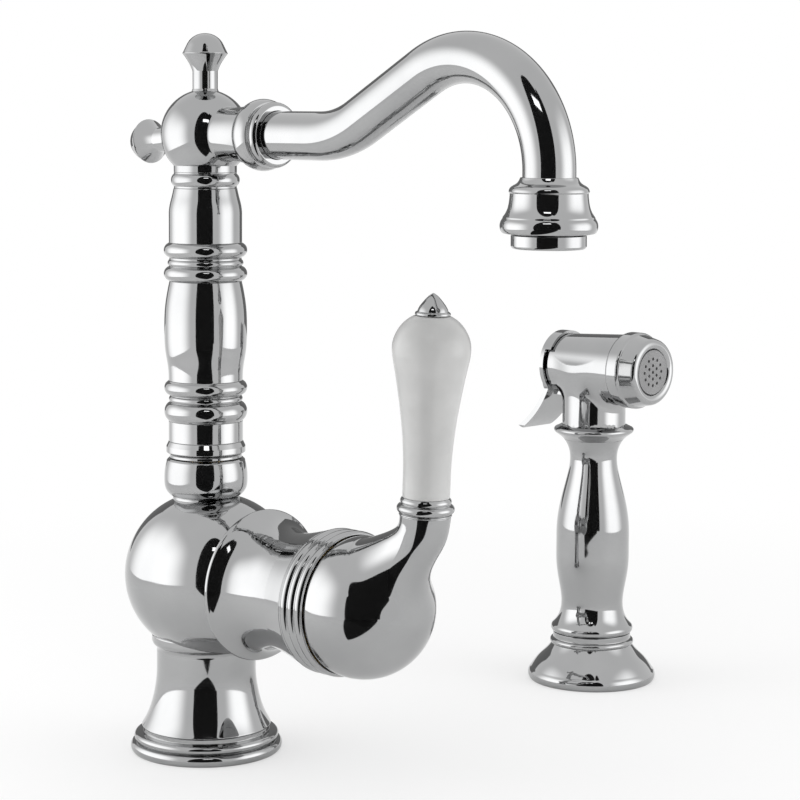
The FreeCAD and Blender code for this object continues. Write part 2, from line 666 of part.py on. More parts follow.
def make_spout():
    """Bent tube with its collar, bell nozzle and aerator."""
    wire, end = spout_path()
    keep("spout_tube", swept(wire, SPOUT_R).cut(swept(wire, SPOUT_R - SPOUT_WALL)))
    bore = SPOUT_R + FIT
    crest = SPOUT_COLLAR_R
    length = SPOUT_COLLAR_L
    collar = turned(
        (bore, 0), (crest - 1.4, 0), *bead(crest - 1.0, crest, 1.0, 0.65 * length),
        (crest - 1.9, 0.67 * length), (crest - 1.9, 0.72 * length),
        *bead(crest - 2.0, crest - 1.2, 0.73 * length, 0.97 * length), (crest - 2.6, length), (bore, length))
    keep("spout_collar", placed(collar, V(0, -CROWN_BOSS_T, CROWN_Z), FORWARD))

    shoulder = NOZZLE_SHOULDER_R
    thread = AERATOR_THREAD_R + FIT
    washer_z = -(NOZZLE_SKIRT + RUN_GAP - AERATOR_THREAD_L - AERATOR_WASHER_H)
    nozzle = turned(
        (bore, NOZZLE_SOCKET), (bore + 0.6, NOZZLE_SOCKET),
        ("curve", [(bore + 1.7, NOZZLE_SOCKET - 1.9), (shoulder - 0.4, NOZZLE_SOCKET - 3.6),
                   (shoulder, NOZZLE_SOCKET - 4.8)]),
        (shoulder - 0.4, NOZZLE_SOCKET - 5.3),
        ("curve", [(shoulder - 0.2, 1.2), (shoulder + 0.6, -2.2), (shoulder + 1.9, -4.3)]),
        *bead(NOZZLE_BEAD_R - 0.9, NOZZLE_BEAD_R, -4.9, -NOZZLE_SKIRT + 0.4),
        (AERATOR_R + 0.6, -NOZZLE_SKIRT), (thread, -NOZZLE_SKIRT), (thread, washer_z),
        (SPOUT_R - SPOUT_WALL, washer_z), (SPOUT_R - SPOUT_WALL, 0), (bore, 0))
    keep("spout_nozzle", nozzle.translated(end))

    collar_top = -NOZZLE_SKIRT - RUN_GAP
    collar_end = collar_top - AERATOR_H
    thread_top = collar_top + AERATOR_THREAD_L
    housing = turned(
        (AERATOR_BORE_R, thread_top), (AERATOR_THREAD_R, thread_top), (AERATOR_THREAD_R, collar_top),
        (AERATOR_R, collar_top), (AERATOR_R, collar_end + 1.2),
        ("arc", (AERATOR_R - 0.35, collar_end + 0.35), (AERATOR_R - 1.2, collar_end)),
        (AERATOR_LIP_R, collar_end), (AERATOR_LIP_R, collar_end + 1.0), (AERATOR_BORE_R, collar_end + 1.0))
    keep("aerator_housing", housing.translated(end))
    washer = tube(AERATOR_THREAD_R - FIT, AERATOR_LIP_R, thread_top, washer_z)
    keep("aerator_washer", washer.translated(end))
    insert_low = collar_end + 1.0
    insert = rod(AERATOR_BORE_R - FIT, insert_low, thread_top)
    low, high = insert_low - 1, thread_top + 1
    holes = rosette(AERATOR_HOLE_PITCH, 2, lambda x, y: rod(AERATOR_HOLE_R, low, high, x, y))
    keep("aerator_insert", insert.cut(holes).translated(end))


def ports(low, high):
    return ring_of(INLET_COUNT, PORT_RING_R, lambda x, y: rod(PORT_R, low, high, x, y))


def make_cartridge():
    """Ceramic disc cartridge, its nut, and the turret, slider and discs inside it."""
    base_t = CAVITY_T + CART_SEAL_H
    flange_t = CART_SHOULDER_T + CART_FLANGE_H
    through = ports(CAVITY_T - 1, FIXED_DISC_T + FIXED_DISC_H + 1)
    seal = rod(CART_R - 3.0, CAVITY_T, base_t)
    base = rod(CART_R, base_t, CART_SHOULDER_T).fuse(rod(CART_BORE_R - FIT, base_t, FIXED_DISC_T))
    disc = rod(CART_BORE_R - FIT, FIXED_DISC_T, FIXED_DISC_T + FIXED_DISC_H)
    keep("cartridge_seal", on_valve_axis(seal.cut(through)))
    keep("cartridge_base", on_valve_axis(base.cut(through)))
    keep("fixed_disc", on_valve_axis(disc.cut(through)))
    housing = rod(CART_R, CART_SHOULDER_T, flange_t).fuse(rod(CART_BARREL_R, CART_SHOULDER_T, CART_END_T))
    housing = housing.cut([rod(CART_BORE_R, CART_SHOULDER_T - 1, CART_NECK_T),
                           rod(TURRET_R + SLIP, CART_NECK_T - 1, CART_END_T + 1)])
    keep("cartridge_housing", on_valve_axis(housing))
    nut = rod(NUT_R, NUT_T, NUT_END_T).cut([rod(CART_R + FIT, NUT_T - 1, flange_t),
                                            rod(CART_BARREL_R + FIT, flange_t - 1, NUT_END_T + 1)])
    keep("cartridge_nut", on_valve_axis(nut))

    disc_t = FIXED_DISC_T + FIXED_DISC_H + DISC_GAP
    slider_t = disc_t + MOVING_DISC_H
    slider_end = slider_t + SLIDER_L
    moving = Part.makeCylinder(MOVING_DISC_R, MOVING_DISC_H, V(0, -DISC_TRAVEL / 2, disc_t))
    keep("moving_disc", on_valve_axis(moving))
    slider = block(SLIDER_X, -SLIDER_H / 2, SLIDER_H / 2, slider_t, slider_end)
    socket_h = SLIDER_H / 2 - SLIDER_WALL
    socket_t = HUB_T - STEM_ARM - STEM_BALL_R - RUN_GAP
    slider = slider.cut(block(SLIDER_X + 1, -socket_h, socket_h, socket_t, slider_end + 1))
    keep("disc_slider", on_valve_axis(slider))

    flange_end = CART_NECK_T - RUN_GAP
    turret = rod(TURRET_FLANGE_R, TURRET_FLANGE_T, flange_end)
    turret = turret.fuse(rod(TURRET_R, TURRET_FLANGE_T, TURRET_END_T))
    ring_end = TURRET_FLANGE_T + TURRET_RING_L
    half = TURRET_SLOT_H / 2
    turret = turret.cut([block(TURRET_SLOT_X, -half, half, TURRET_FLANGE_T - 1, ring_end),
                         block(TURRET_SLOT_X, -TURRET_R - 1, TURRET_R + 1, ring_end, TURRET_END_T + 1),
                         cross_bar(PIN_R + SLIP, 3 * TURRET_R, 0, HUB_T)])
    keep("cartridge_turret", on_valve_axis(turret))
    keep("turret_pin", on_valve_axis(cross_bar(PIN_R, PIN_L, 0, HUB_T)))


def polar(radius, angle):
    """Radius from the valve axis and distance T of a point on a ball about the pivot."""
    turn = math.radians(angle)
    return (radius * math.cos(turn), HUB_T + radius * math.sin(turn))


def make_trim():
    """Beaded ring on the barrel that seats the hub, and the dome that closes the gap behind the hub."""
    front = HUB_T - HUB_RIM - TRIM_LIP_GAP
    third = (front - BARREL_END_T - 1.2) / 3
    steps = []
    for i in range(3):
        low = BARREL_END_T + 0.6 + i * third
        steps += bead(TRIM_R - 1.0, TRIM_R, low + 0.3, low + third - 0.3)
    ring = turned((TRIM_SEAT_R, BARREL_END_T), (BARREL_END_R, BARREL_END_T), *steps,
                  (TRIM_R - 0.8, front), (TRIM_SEAT_R, front))
    keep("trim_ring", on_valve_axis(ring.cut(ball(HUB_R + RUN_GAP, HUB_T))))
    outer = HUB_R - HUB_WALL - DOME_GAP
    inner = outer - DOME_WALL
    bore = CART_BARREL_R + FIT
    back = polar(inner, -DOME_BACK_ANGLE)
    keep("cartridge_dome", on_valve_axis(turned(
        (bore, NUT_END_T), (bore + 2.0, NUT_END_T), polar(outer, -DOME_BACK_ANGLE),
        ("arc", polar(outer, 0), polar(outer, DOME_FRONT_ANGLE)), polar(inner, DOME_FRONT_ANGLE),
        ("arc", polar(inner, 0), back), (bore, back[1]))))


def arm_section(forward, up, radius, angle):
    """Circle across the lever's arm; angle is the arm's slope in degrees."""
    slope = math.radians(angle)
    circle = Part.Circle(V(0, up, HUB_T + forward), V(0, math.sin(slope), math.cos(slope)), radius)
    return Part.Wire(circle.toShape())


def make_hub():
    """Hollow ball about the pivot, with the horn-shaped arm, the boss for the stem and its set screw."""
    arm = Part.makeLoft([arm_section(0.441 * ARM_FORWARD, 0.409 * ARM_UP, 1.85 * ARM_R, 45),
                         arm_section(0.68 * ARM_FORWARD, 0.585 * ARM_UP, 1.215 * ARM_R, 45),
                         arm_section(0.856 * ARM_FORWARD, 0.727 * ARM_UP, 1.01 * ARM_R, 51),
                         arm_section(0.967 * ARM_FORWARD, 0.864 * ARM_UP, 0.99 * ARM_R, 70),
                         arm_section(ARM_FORWARD, ARM_UP, ARM_R, 90 - ARM_LEAN)], True, False)
    inner = ball(HUB_R - HUB_WALL, HUB_T)
    rim = HUB_T - HUB_RIM
    shell = ball(HUB_R, HUB_T).fuse(arm).cut([inner, rod(2 * HUB_R, 0, rim)])
    boss = rod(HUB_BOSS_R, HUB_T + HUB_BOSS_T, HUB_T + HUB_R).common(ball(HUB_R - HUB_WALL / 2, HUB_T))
    stem_hole = STEM_SIDE + 2 * FIT
    screw_t = HUB_T + SET_SCREW_T
    screw_top = -STEM_SIDE / 2 - FIT
    down = V(0, -1, 0)
    hub = shell.fuse(boss).cut([
        block(stem_hole, -stem_hole / 2, stem_hole / 2, HUB_T, HUB_T + STEM_REACH + FIT),
        Part.makeCylinder(SET_SCREW_R + FIT, HUB_R, V(0, 0, screw_t), down),
        rod_hole_in_arm()])
    keep("lever_hub", on_valve_axis(hub))
    screw = Part.makeCylinder(SET_SCREW_R, SET_SCREW_L, V(0, screw_top, screw_t), down)
    key_top = V(0, screw_top - SET_SCREW_L / 2, screw_t)
    key = Part.makeCylinder(SET_SCREW_KEY_R, SET_SCREW_L / 2, key_top, down)
    keep("lever_set_screw", on_valve_axis(screw.cut(key)))


def on_lever(shape):
    """Stands a piece made along Z on top of the arm, with the lever's lean."""
    return placed(shape, V(0, -HUB_T - ARM_FORWARD, BODY_Z + ARM_UP), ARM_LEAN)


def rod_hole_in_arm():
    """Tapped hole for the lever's rod, in the frame of the valve axis."""
    hole = rod(ROD_R + FIT, -ROD_TAIL - 1, 1)
    return placed(hole, V(0, ARM_UP, HUB_T + ARM_FORWARD), ARM_LEAN - FORWARD)


def make_lever():
    """Stem on the pivot pin, and the ferrule, porcelain grip, rod and finial of the lever."""
    half = STEM_SIDE / 2
    stem = block(STEM_SIDE, -half, half, HUB_T - STEM_SHANK_L, HUB_T + STEM_REACH)
    stem = stem.fuse([rod(STEM_NECK_R, HUB_T - STEM_ARM, HUB_T), ball(STEM_BALL_R, HUB_T - STEM_ARM)])
    keep("cartridge_stem", on_valve_axis(stem.cut(cross_bar(PIN_R + SLIP, 2 * STEM_SIDE, 0, HUB_T))))

    bore = ROD_R + FIT
    root = FERRULE_R - 1.3
    h = FERRULE_H
    keep("lever_ferrule", on_lever(turned(
        (bore, 0), (ARM_R, 0), *bead(root, root + 0.4, 0.2, 1.0), *bead(root, FERRULE_R, 1.1, h - 2.6),
        *bead(root - 0.2, root + 0.1, h - 2.4, h - 0.6), (GRIP_FOOT_R, h), (bore, h))))
    low = FERRULE_H
    high = low + GRIP_L
    swell = GRIP_R - GRIP_FOOT_R
    keep("lever_grip", on_lever(turned(
        (bore, low), (GRIP_FOOT_R, low), (GRIP_FOOT_R, low + 0.12 * GRIP_L),
        ("curve", [(GRIP_FOOT_R + 0.13 * swell, low + 0.33 * GRIP_L),
                   (GRIP_FOOT_R + 0.56 * swell, low + 0.59 * GRIP_L),
                   (GRIP_FOOT_R + 0.87 * swell, low + 0.73 * GRIP_L),
                   (GRIP_R, low + 0.84 * GRIP_L),
                   (GRIP_FOOT_R + 0.7 * swell, low + 0.914 * GRIP_L),
                   (GRIP_FOOT_R + 0.24 * swell, low + 0.964 * GRIP_L),
                   (GRIP_TOP_R, high)]),
        (bore, high))))
    tip = high + LEVER_FINIAL_L
    rod_top = high + LEVER_FINIAL_L / 3
    keep("lever_rod", on_lever(rod(ROD_R, -ROD_TAIL, rod_top)))
    keep("lever_finial", on_lever(turned(
        (0, rod_top + FIT), (bore, rod_top + FIT), (bore, high),
        *bead(LEVER_FINIAL_R - 0.3, LEVER_FINIAL_R, high, high + LEVER_FINIAL_BAND),
        (0.87 * LEVER_FINIAL_R, high + LEVER_FINIAL_BAND + 0.2),
        ("curve", [(0.8 * LEVER_FINIAL_R, high + 0.33 * LEVER_FINIAL_L),
                   (0.56 * LEVER_FINIAL_R, high + 0.6 * LEVER_FINIAL_L),
                   (0.3 * LEVER_FINIAL_R, high + 0.83 * LEVER_FINIAL_L), (0, tip)]))))


def make_diverter():
    """Sleeve in the middle of the body with a free piston that sends water to the spray."""
    inner = DIVERTER_R - DIVERTER_WALL
    top = DIVERTER_Z + DIVERTER_L
    seat = tube(DIVERTER_R, inner - DIVERTER_WALL, DIVERTER_Z, DIVERTER_Z + PISTON_LIFT)
    sleeve = tube(DIVERTER_R, inner, DIVERTER_Z, top).fuse(seat)
    keep("diverter_sleeve", sleeve.cut(on_valve_axis(rod(WATERWAY_R, 0, 2 * DIVERTER_R))))
    low = DIVERTER_Z + PISTON_LIFT
    keep("diverter_piston", rod(inner - SLIP, low, low + PISTON_L))


def make_holder():
    """Bell-shaped deck holder of the spray, with its gasket and liner."""
    bell_w = HOLDER_R - HOLDER_NECK_R
    bell_h = HOLDER_BELL_H - HOLDER_RIM_H
    holder = turned(
        (HOLDER_THREAD_R, 0), (HOLDER_R - 0.9, 0),
        ("arc", (HOLDER_R, 0.45 * HOLDER_RIM_H), (HOLDER_R - 1.1, HOLDER_RIM_H)),
        ("curve", [(HOLDER_NECK_R + 0.56 * bell_w, HOLDER_RIM_H + 0.41 * bell_h),
                   (HOLDER_NECK_R + 0.18 * bell_w, HOLDER_RIM_H + 0.75 * bell_h),
                   (HOLDER_NECK_R - 0.3, HOLDER_BELL_H)]),
        *bead(HOLDER_NECK_R - 0.2, HOLDER_NECK_R + 0.4, HOLDER_BELL_H + 0.2, HOLDER_BELL_H + 2.4),
        (HOLDER_LIP_R, HOLDER_BELL_H + 2.8), (HOLDER_LIP_R, HOLDER_H), (HOLDER_SEAT_R, HOLDER_H),
        (HOLDER_SEAT_R, HOLDER_THREAD_L), (HOLDER_THREAD_R, HOLDER_THREAD_L))
    groove = tube(HOLDER_GASKET_R + FIT, HOLDER_GASKET_R - HOLDER_GASKET_W - FIT, -1, HOLDER_GASKET_H)
    keep("spray_holder", on_spray(holder.cut(groove)))
    gasket = tube(HOLDER_GASKET_R, HOLDER_GASKET_R - HOLDER_GASKET_W, 0, HOLDER_GASKET_H)
    keep("holder_gasket", on_spray(gasket))
    keep("holder_bush", on_spray(tube(HOLDER_SEAT_R - FIT, BUSH_BORE_R, HOLDER_THREAD_L, HOLDER_H)))


def make_handle():
    """Turned handle of the spray and the flange under its head."""
    z = HOLDER_H + RUN_GAP
    top = z + HANDLE_H
    spigot_r = BUSH_BORE_R - RUN_GAP
    h = HANDLE_H
    waist, swell, neck = HANDLE_WAIST_R, HANDLE_SWELL_R, HANDLE_NECK_R
    handle = turned(
        (HANDLE_BORE_R, SPIGOT_Z), (spigot_r, SPIGOT_Z), (spigot_r, z), (HANDLE_LIP_R - 0.9, z),
        ("arc", (HANDLE_LIP_R, z + HANDLE_LIP_H / 2), (HANDLE_LIP_R - 0.7, z + HANDLE_LIP_H)),
        ("curve", [(waist + 1.4, z + 0.074 * h), (waist, z + 0.127 * h), (waist + 0.1, z + 0.197 * h),
                   (waist + 1.6, z + 0.289 * h), (swell, z + 0.405 * h), (swell - 0.1, z + 0.578 * h),
                   (swell - 2.0, z + 0.694 * h), (neck + 1.6, z + 0.798 * h), (neck, z + 0.879 * h),
                   (neck + 0.5, z + 0.948 * h), (HANDLE_TOP_R, top)]),
        (HANDLE_BORE_R, top))
    handle = handle.cut([rod(HOSE_INLET_R, SPIGOT_Z - 1, SPIGOT_Z + HOSE_INLET_DEPTH),
                         rod(HEAD_STEM_R + FIT, top - HEAD_STEM_L + FLANGE_H - FIT, top + 1)])
    keep("spray_handle", on_spray(handle))
    flange_top = top + FLANGE_H
    keep("spray_flange", on_spray(turned(
        (HEAD_STEM_R + FIT, top), (HANDLE_TOP_R, top),
        ("curve", [(HANDLE_TOP_R + 1.6, top + 0.24 * FLANGE_H), (FLANGE_R - 0.9, top + 0.45 * FLANGE_H),
                   (FLANGE_R - 0.2, top + 0.55 * FLANGE_H)]),
        ("arc", (FLANGE_R, top + 0.69 * FLANGE_H), (FLANGE_R - 0.6, top + 0.84 * FLANGE_H)),
        (HEAD_NECK_R + 1.0, flange_top), (HEAD_STEM_R + FIT, flange_top))))


def make_head():
    """Tee-shaped spray head, its bezel and sprayface, and the valve stem."""
    z = HEAD_Z - HEAD_RISE
    barrel = turned((0, -HEAD_BACK), (HEAD_BACK_R, -HEAD_BACK), (HEAD_FRONT_R, HEAD_FRONT), (0, HEAD_FRONT))
    barrel = placed(barrel, V(0, 0, HEAD_Z), FORWARD)
    head = barrel.fuse(rod(HEAD_NECK_R, z, HEAD_Z)).removeSplitter()
    seam = [edge for edge in head.Edges if is_seam(edge, z)]
    head = head.makeFillet(HEAD_BLEND_R, seam)
    spigot = placed(rod(HEAD_SPIGOT_R, 0, HEAD_FRONT + HEAD_SPIGOT_L), V(0, 0, HEAD_Z), FORWARD)
    head = head.fuse([spigot, rod(HEAD_STEM_R, z - HEAD_STEM_L, z + 1)])
    pin_y = HEAD_BACK - THUMB_PIN_BACK
    pin_z = HEAD_Z - THUMB_PIN_DROP
    ear_gap = THUMB_EAR_W + 2 * RUN_GAP
    cuts = [placed(rod(HEAD_CHAMBER_R, -HEAD_CHAMBER_BACK, 2 * HEAD_BACK), V(0, 0, HEAD_Z), FORWARD),
            placed(rod(VALVE_STEM_R + SLIP, -2 * HEAD_BACK, 0), V(0, 0, HEAD_Z), FORWARD),
            rod(HANDLE_BORE_R, z - HEAD_STEM_L - 1, HEAD_Z),
            cross_bar(THUMB_PIN_R + SLIP, 4 * HEAD_BACK, pin_y, pin_z)]
    low = pin_y - THUMB_EAR_R - RUN_GAP
    for side in (-1, 1):
        slot = block(ear_gap, low, HEAD_BACK + 1, pin_z - 2 * THUMB_EAR_R, pin_z + THUMB_EAR_R + RUN_GAP)
        cuts.append(slot.translated(V(side * (THUMB_EAR_X + THUMB_EAR_W / 2), 0, 0)))
    keep("spray_head", on_spray(head.cut(cuts)))

    f = HEAD_FRONT
    end = f + BEZEL_L
    spigot_end = f + HEAD_SPIGOT_L
    inner = HEAD_SPIGOT_R + FIT
    lip_t = spigot_end + FACE_SEAL_H + FACE_FLANGE_H
    band_t = f + BEZEL_BAND_L
    keep("spray_bezel", on_head_axis(turned(
        (inner, f), (HEAD_FRONT_R, f), ("arc", (BEZEL_R - 0.4, f + 0.7), (BEZEL_R, f + 2.0)),
        (BEZEL_R, band_t - 1.4), ("arc", (BEZEL_R - 0.3, band_t - 0.5), (BEZEL_R - 0.9, band_t)),
        (BEZEL_FRONT_R + 1.0, end - 1.8),
        ("arc", (BEZEL_FRONT_R + 0.5, end - 0.6), (BEZEL_FRONT_R - 0.9, end)),
        (BEZEL_MOUTH_R + 0.5, end), (BEZEL_MOUTH_R, end - 0.5), (BEZEL_MOUTH_R, lip_t), (inner, lip_t))))
    face_t = spigot_end + FACE_SEAL_H
    keep("spray_face_seal", on_head_axis(tube(HEAD_SPIGOT_R, HEAD_CHAMBER_R, spigot_end, face_t)))
    face_end = end - FACE_RECESS
    face = rod(HEAD_SPIGOT_R, face_t, lip_t).fuse(rod(BEZEL_MOUTH_R - FIT, face_t, face_end))
    holes = rosette(FACE_HOLE_PITCH, 2, lambda x, y: rod(FACE_HOLE_R, face_t - 1, face_end + 1, x, y))
    keep("spray_face", on_head_axis(face.cut(holes)))

    plate_back = HEAD_BACK + THUMB_GAP + THUMB_WALL
    stem = rod(VALVE_STEM_R, -plate_back - RUN_GAP - STEM_HEAD_L, VALVE_STEM_FRONT)
    stem = stem.fuse([rod(POPPET_R, VALVE_STEM_FRONT, VALVE_STEM_FRONT + POPPET_L),
                      rod(STEM_HEAD_R, -plate_back - RUN_GAP - STEM_HEAD_L, -plate_back - RUN_GAP)])
    keep("spray_valve_stem", on_head_axis(stem))


def is_seam(edge, flange_z):
    """The edge where the head's barrel runs into its neck."""
    centre = edge.BoundBox.Center
    wide = edge.BoundBox.XLength > HEAD_NECK_R
    return wide and flange_z + 1 < centre.z < HEAD_Z and edge.BoundBox.YLength > HEAD_NECK_R


def make_thumb_lever():
    """Rocking lever on the back of the spray head: a round plate, a hood and a flared paddle."""
    near = HEAD_BACK + THUMB_GAP
    far = near + THUMB_WALL
    top = HEAD_Z + THUMB_R
    flare_z = HEAD_Z - THUMB_FLARE_Z
    tip_z = HEAD_Z - THUMB_DROP
    half = THUMB_W / 2
    lean = THUMB_WALL * 0.6

    def side(point):
        return V(-THUMB_R, point[0], point[1])

    def front(point):
        return V(point[0], 0, point[1])

    profile = plate((near, top), [
        (near, flare_z), ("curve", [(near + 0.3 * THUMB_FLARE, flare_z - 0.45 * (flare_z - tip_z)),
                                    (near + THUMB_FLARE, tip_z)]),
        (far + THUMB_FLARE, tip_z + lean),
        ("curve", [(far + 0.3 * THUMB_FLARE, flare_z - 0.4 * (flare_z - tip_z)), (far, flare_z + 1.0)]),
        (far, top)], side, V(2 * THUMB_R, 0, 0))
    corner = THUMB_CORNER
    bend = corner * (1 - math.sqrt(0.5))
    face = plate((-half, HEAD_Z), [
        (-half, tip_z + corner), ("arc", (bend - half, tip_z + bend), (corner - half, tip_z)),
        (half - corner, tip_z), ("arc", (half - bend, tip_z + bend), (half, tip_z + corner)), (half, HEAD_Z)],
        front, V(0, 3 * HEAD_BACK, 0))
    disc = Part.makeCylinder(THUMB_R, 3 * HEAD_BACK, V(0, 0, HEAD_Z), V(0, 1, 0))
    lever = profile.common(face.fuse(disc))
    hood_y = near - HOOD_L
    hood_r = HEAD_BACK_R + HOOD_GAP
    hood = Part.makeCylinder(THUMB_R, HOOD_L, V(0, hood_y, HEAD_Z), V(0, 1, 0))
    hood = hood.cut(Part.makeCylinder(hood_r, HOOD_L, V(0, hood_y, HEAD_Z), V(0, 1, 0)))
    hood = hood.common(block(3 * THUMB_R, hood_y, near, HEAD_Z + HOOD_Z, top + 1))
    pin_y = HEAD_BACK - THUMB_PIN_BACK
    pin_z = HEAD_Z - THUMB_PIN_DROP
    ears = []
    for sign in (-1, 1):
        x = sign * (THUMB_EAR_X + THUMB_EAR_W / 2)
        ear = block(THUMB_EAR_W, pin_y, near + THUMB_WALL / 2, pin_z - THUMB_EAR_R, pin_z + THUMB_EAR_R)
        ear = ear.fuse(cross_bar(THUMB_EAR_R, THUMB_EAR_W, pin_y, pin_z))
        ears.append(ear.translated(V(x, 0, 0)))
    slot_top = HEAD_Z + STEM_SLOT_UP + STEM_SLOT_PLAY
    slot = block(STEM_SLOT_W, 0, 3 * HEAD_BACK, HEAD_Z - STEM_SLOT_DOWN, slot_top)
    lever = lever.fuse([hood] + ears).cut([slot, cross_bar(THUMB_PIN_R + SLIP, THUMB_W, pin_y, pin_z)])
    keep("thumb_lever", on_spray(lever))
    pin_l = 2 * (THUMB_EAR_X + THUMB_EAR_W)
    keep("thumb_lever_pin", on_spray(cross_bar(THUMB_PIN_R, pin_l, pin_y, pin_z)))


def main():
    make_foot()
    make_valve_body()
    make_swivel()
    make_column()
    make_crown()
    make_spout()
    make_cartridge()
    make_trim()
    make_hub()
    make_lever()
    make_diverter()
    make_holder()
    make_handle()
    make_head()
    make_thumb_lever()
    os.makedirs("parts", exist_ok=True)
    for name, shape in NODES.items():
        shape.exportStep(os.path.join("parts", name + ".step"))


main()
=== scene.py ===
import json
import math

import bpy
import numpy as np
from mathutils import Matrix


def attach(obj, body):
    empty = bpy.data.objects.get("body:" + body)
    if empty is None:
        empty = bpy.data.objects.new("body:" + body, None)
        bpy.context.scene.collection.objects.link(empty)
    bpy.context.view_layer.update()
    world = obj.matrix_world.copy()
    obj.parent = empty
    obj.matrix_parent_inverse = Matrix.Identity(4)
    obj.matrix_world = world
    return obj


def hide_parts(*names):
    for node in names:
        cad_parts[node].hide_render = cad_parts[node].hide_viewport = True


# Looks of the bar faucet: fine turned surfaces over the solids, plated and glazed finishes, and the studio.
# Profiles are in millimetres, radius and height along the piece's own axis; meshes are in metres.

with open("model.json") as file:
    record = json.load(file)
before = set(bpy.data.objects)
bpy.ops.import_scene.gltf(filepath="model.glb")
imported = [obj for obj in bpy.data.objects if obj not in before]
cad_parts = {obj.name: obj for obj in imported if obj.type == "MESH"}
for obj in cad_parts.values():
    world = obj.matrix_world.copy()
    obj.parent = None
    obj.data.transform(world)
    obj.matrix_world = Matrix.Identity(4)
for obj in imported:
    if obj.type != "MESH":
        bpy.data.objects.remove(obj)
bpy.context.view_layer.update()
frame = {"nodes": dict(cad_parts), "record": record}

MM = 0.001

# How curves are drawn, with lengths in millimetres
SAME_POINT = 1e-5
EDGE_GUARD = 0.35
EDGE_ROUND = 0.22
CORNER_ANGLE = math.radians(12)
CORNER_SHARE = 0.3
CORNER_POINTS = 5
ARC_POINTS = 15
SPAN_POINTS = 10
END_POINTS = 6

# Main sizes of the tap, in millimetres; a T is a distance along the valve axis
BALL_R = 32.0
BALL_Z = 70.6
BARREL_END_T = 71.2
COLUMN_Z = 116.9
RISER_BORE = 9.1
CROWN_BASE_Z = 229.0
CROWN_NECK_R = 12.3
CROWN_Z = 243.9
CROWN_R = 17.4
BOSS_END = 29.4
FINIAL_FOOT_R = 5.3
SPOUT_R = 9.1
SOCKET_FIT = 0.10
SOCKET_R = SPOUT_R + SOCKET_FIT
SPOUT_START = 16.0
SPOUT_REACH = 177.3
SPOUT_END_Z = 222.3
HUB_T = 89.6
HUB_R = 26.4
HUB_RIM = 5.6
HUB_WALL = 2.8
HORN_FORWARD = 30.6
HORN_UP = 38.1
HORN_R = 9.3
LEVER_LEAN = 2.5
SPRAY_X = 196.6
SPRAY_Y = -35.1
HEAD_Z = 140.3
HEAD_FRONT = 18.8


# Curves


def straight_run(start, end):
    """Straight line from start to end, with extra points close to both ends to keep the shading flat."""
    start, end = np.asarray(start, float), np.asarray(end, float)
    length = np.linalg.norm(end - start)
    guard = min(EDGE_GUARD, 0.25 * length) / max(length, SAME_POINT)
    share = np.array([0.0, guard, 0.5, 1.0 - guard, 1.0])
    return start + share[:, None] * (end - start)


def arc_run(start, middle, end):
    """Circle through three points, turned evenly from the first by way of the second to the third."""
    a, b, c = (np.asarray(p, float) for p in (start, middle, end))
    system = 2 * np.array([b - a, c - a])
    centre = np.linalg.solve(system, [b @ b - a @ a, c @ c - a @ a])
    angle = [math.atan2(*(p - centre)[::-1]) for p in (a, b, c)]
    to_middle = (angle[1] - angle[0]) % math.tau
    to_end = (angle[2] - angle[0]) % math.tau
    sweep = to_end if to_middle < to_end else to_end - math.tau
    turn = angle[0] + np.linspace(0, sweep, ARC_POINTS)
    radius = np.linalg.norm(a - centre)
    return centre + radius * np.stack([np.cos(turn), np.sin(turn)], 1)


def smooth_run(points, count):
    """Curve through the points: a cubic in each span, with slope and bend matched where spans meet.
    The parameter is the chord length.
    The end slopes come from a parabola through the last three points."""
    points = np.asarray(points, float)
    number = len(points)
    flat = points.reshape(number, -1)
    chord = np.linalg.norm(np.diff(points, axis=0), axis=-1)
    span = chord.reshape(number - 1, -1).mean(1)
    knot = np.concatenate([[0.0], np.cumsum(span)])
    rate = np.diff(flat, axis=0) / span[:, None]
    system = np.zeros((number, number))
    right = np.zeros_like(flat)
    system[0, 0] = system[-1, -1] = 1.0
    right[0] = rate[0] - (rate[1] - rate[0]) * span[0] / (span[0] + span[1])
    right[-1] = rate[-1] + (rate[-1] - rate[-2]) * span[-1] / (span[-1] + span[-2])
    inner = np.arange(1, number - 1)
    system[inner, inner - 1] = span[1:]
    system[inner, inner] = 2 * (span[:-1] + span[1:])
    system[inner, inner + 1] = span[:-1]
    right[1:-1] = 3 * (span[1:, None] * rate[:-1] + span[:-1, None] * rate[1:])
    slope = np.linalg.solve(system, right)
    along = np.linspace(0.0, knot[-1], count)
    k = np.clip(np.searchsorted(knot, along, side="right") - 1, 0, number - 2)
    u = ((along - knot[k]) / span[k])[:, None]
    width = span[k][:, None]
    from_start = flat[k] * (1 + 2 * u) * (1 - u) ** 2 + slope[k] * width * u * (1 - u) ** 2
    from_end = flat[k + 1] * u ** 2 * (3 - 2 * u) - slope[k + 1] * width * u ** 2 * (1 - u)
    return (from_start + from_end).reshape((count,) + points.shape[1:])


def cut_back(run, from_start, from_end):
    """The run without its first and last stretch, measured along it."""
    step = np.linalg.norm(np.diff(run, axis=0), axis=1)
    along = np.concatenate([[0.0], np.cumsum(step)])
    low, high = from_start, along[-1] - from_end
    inside = along[(along > low + SAME_POINT) & (along < high - SAME_POINT)]
    where = np.concatenate([[low], inside, [high]])
    return np.stack([np.interp(where, along, run[:, i]) for i in (0, 1)], 1)


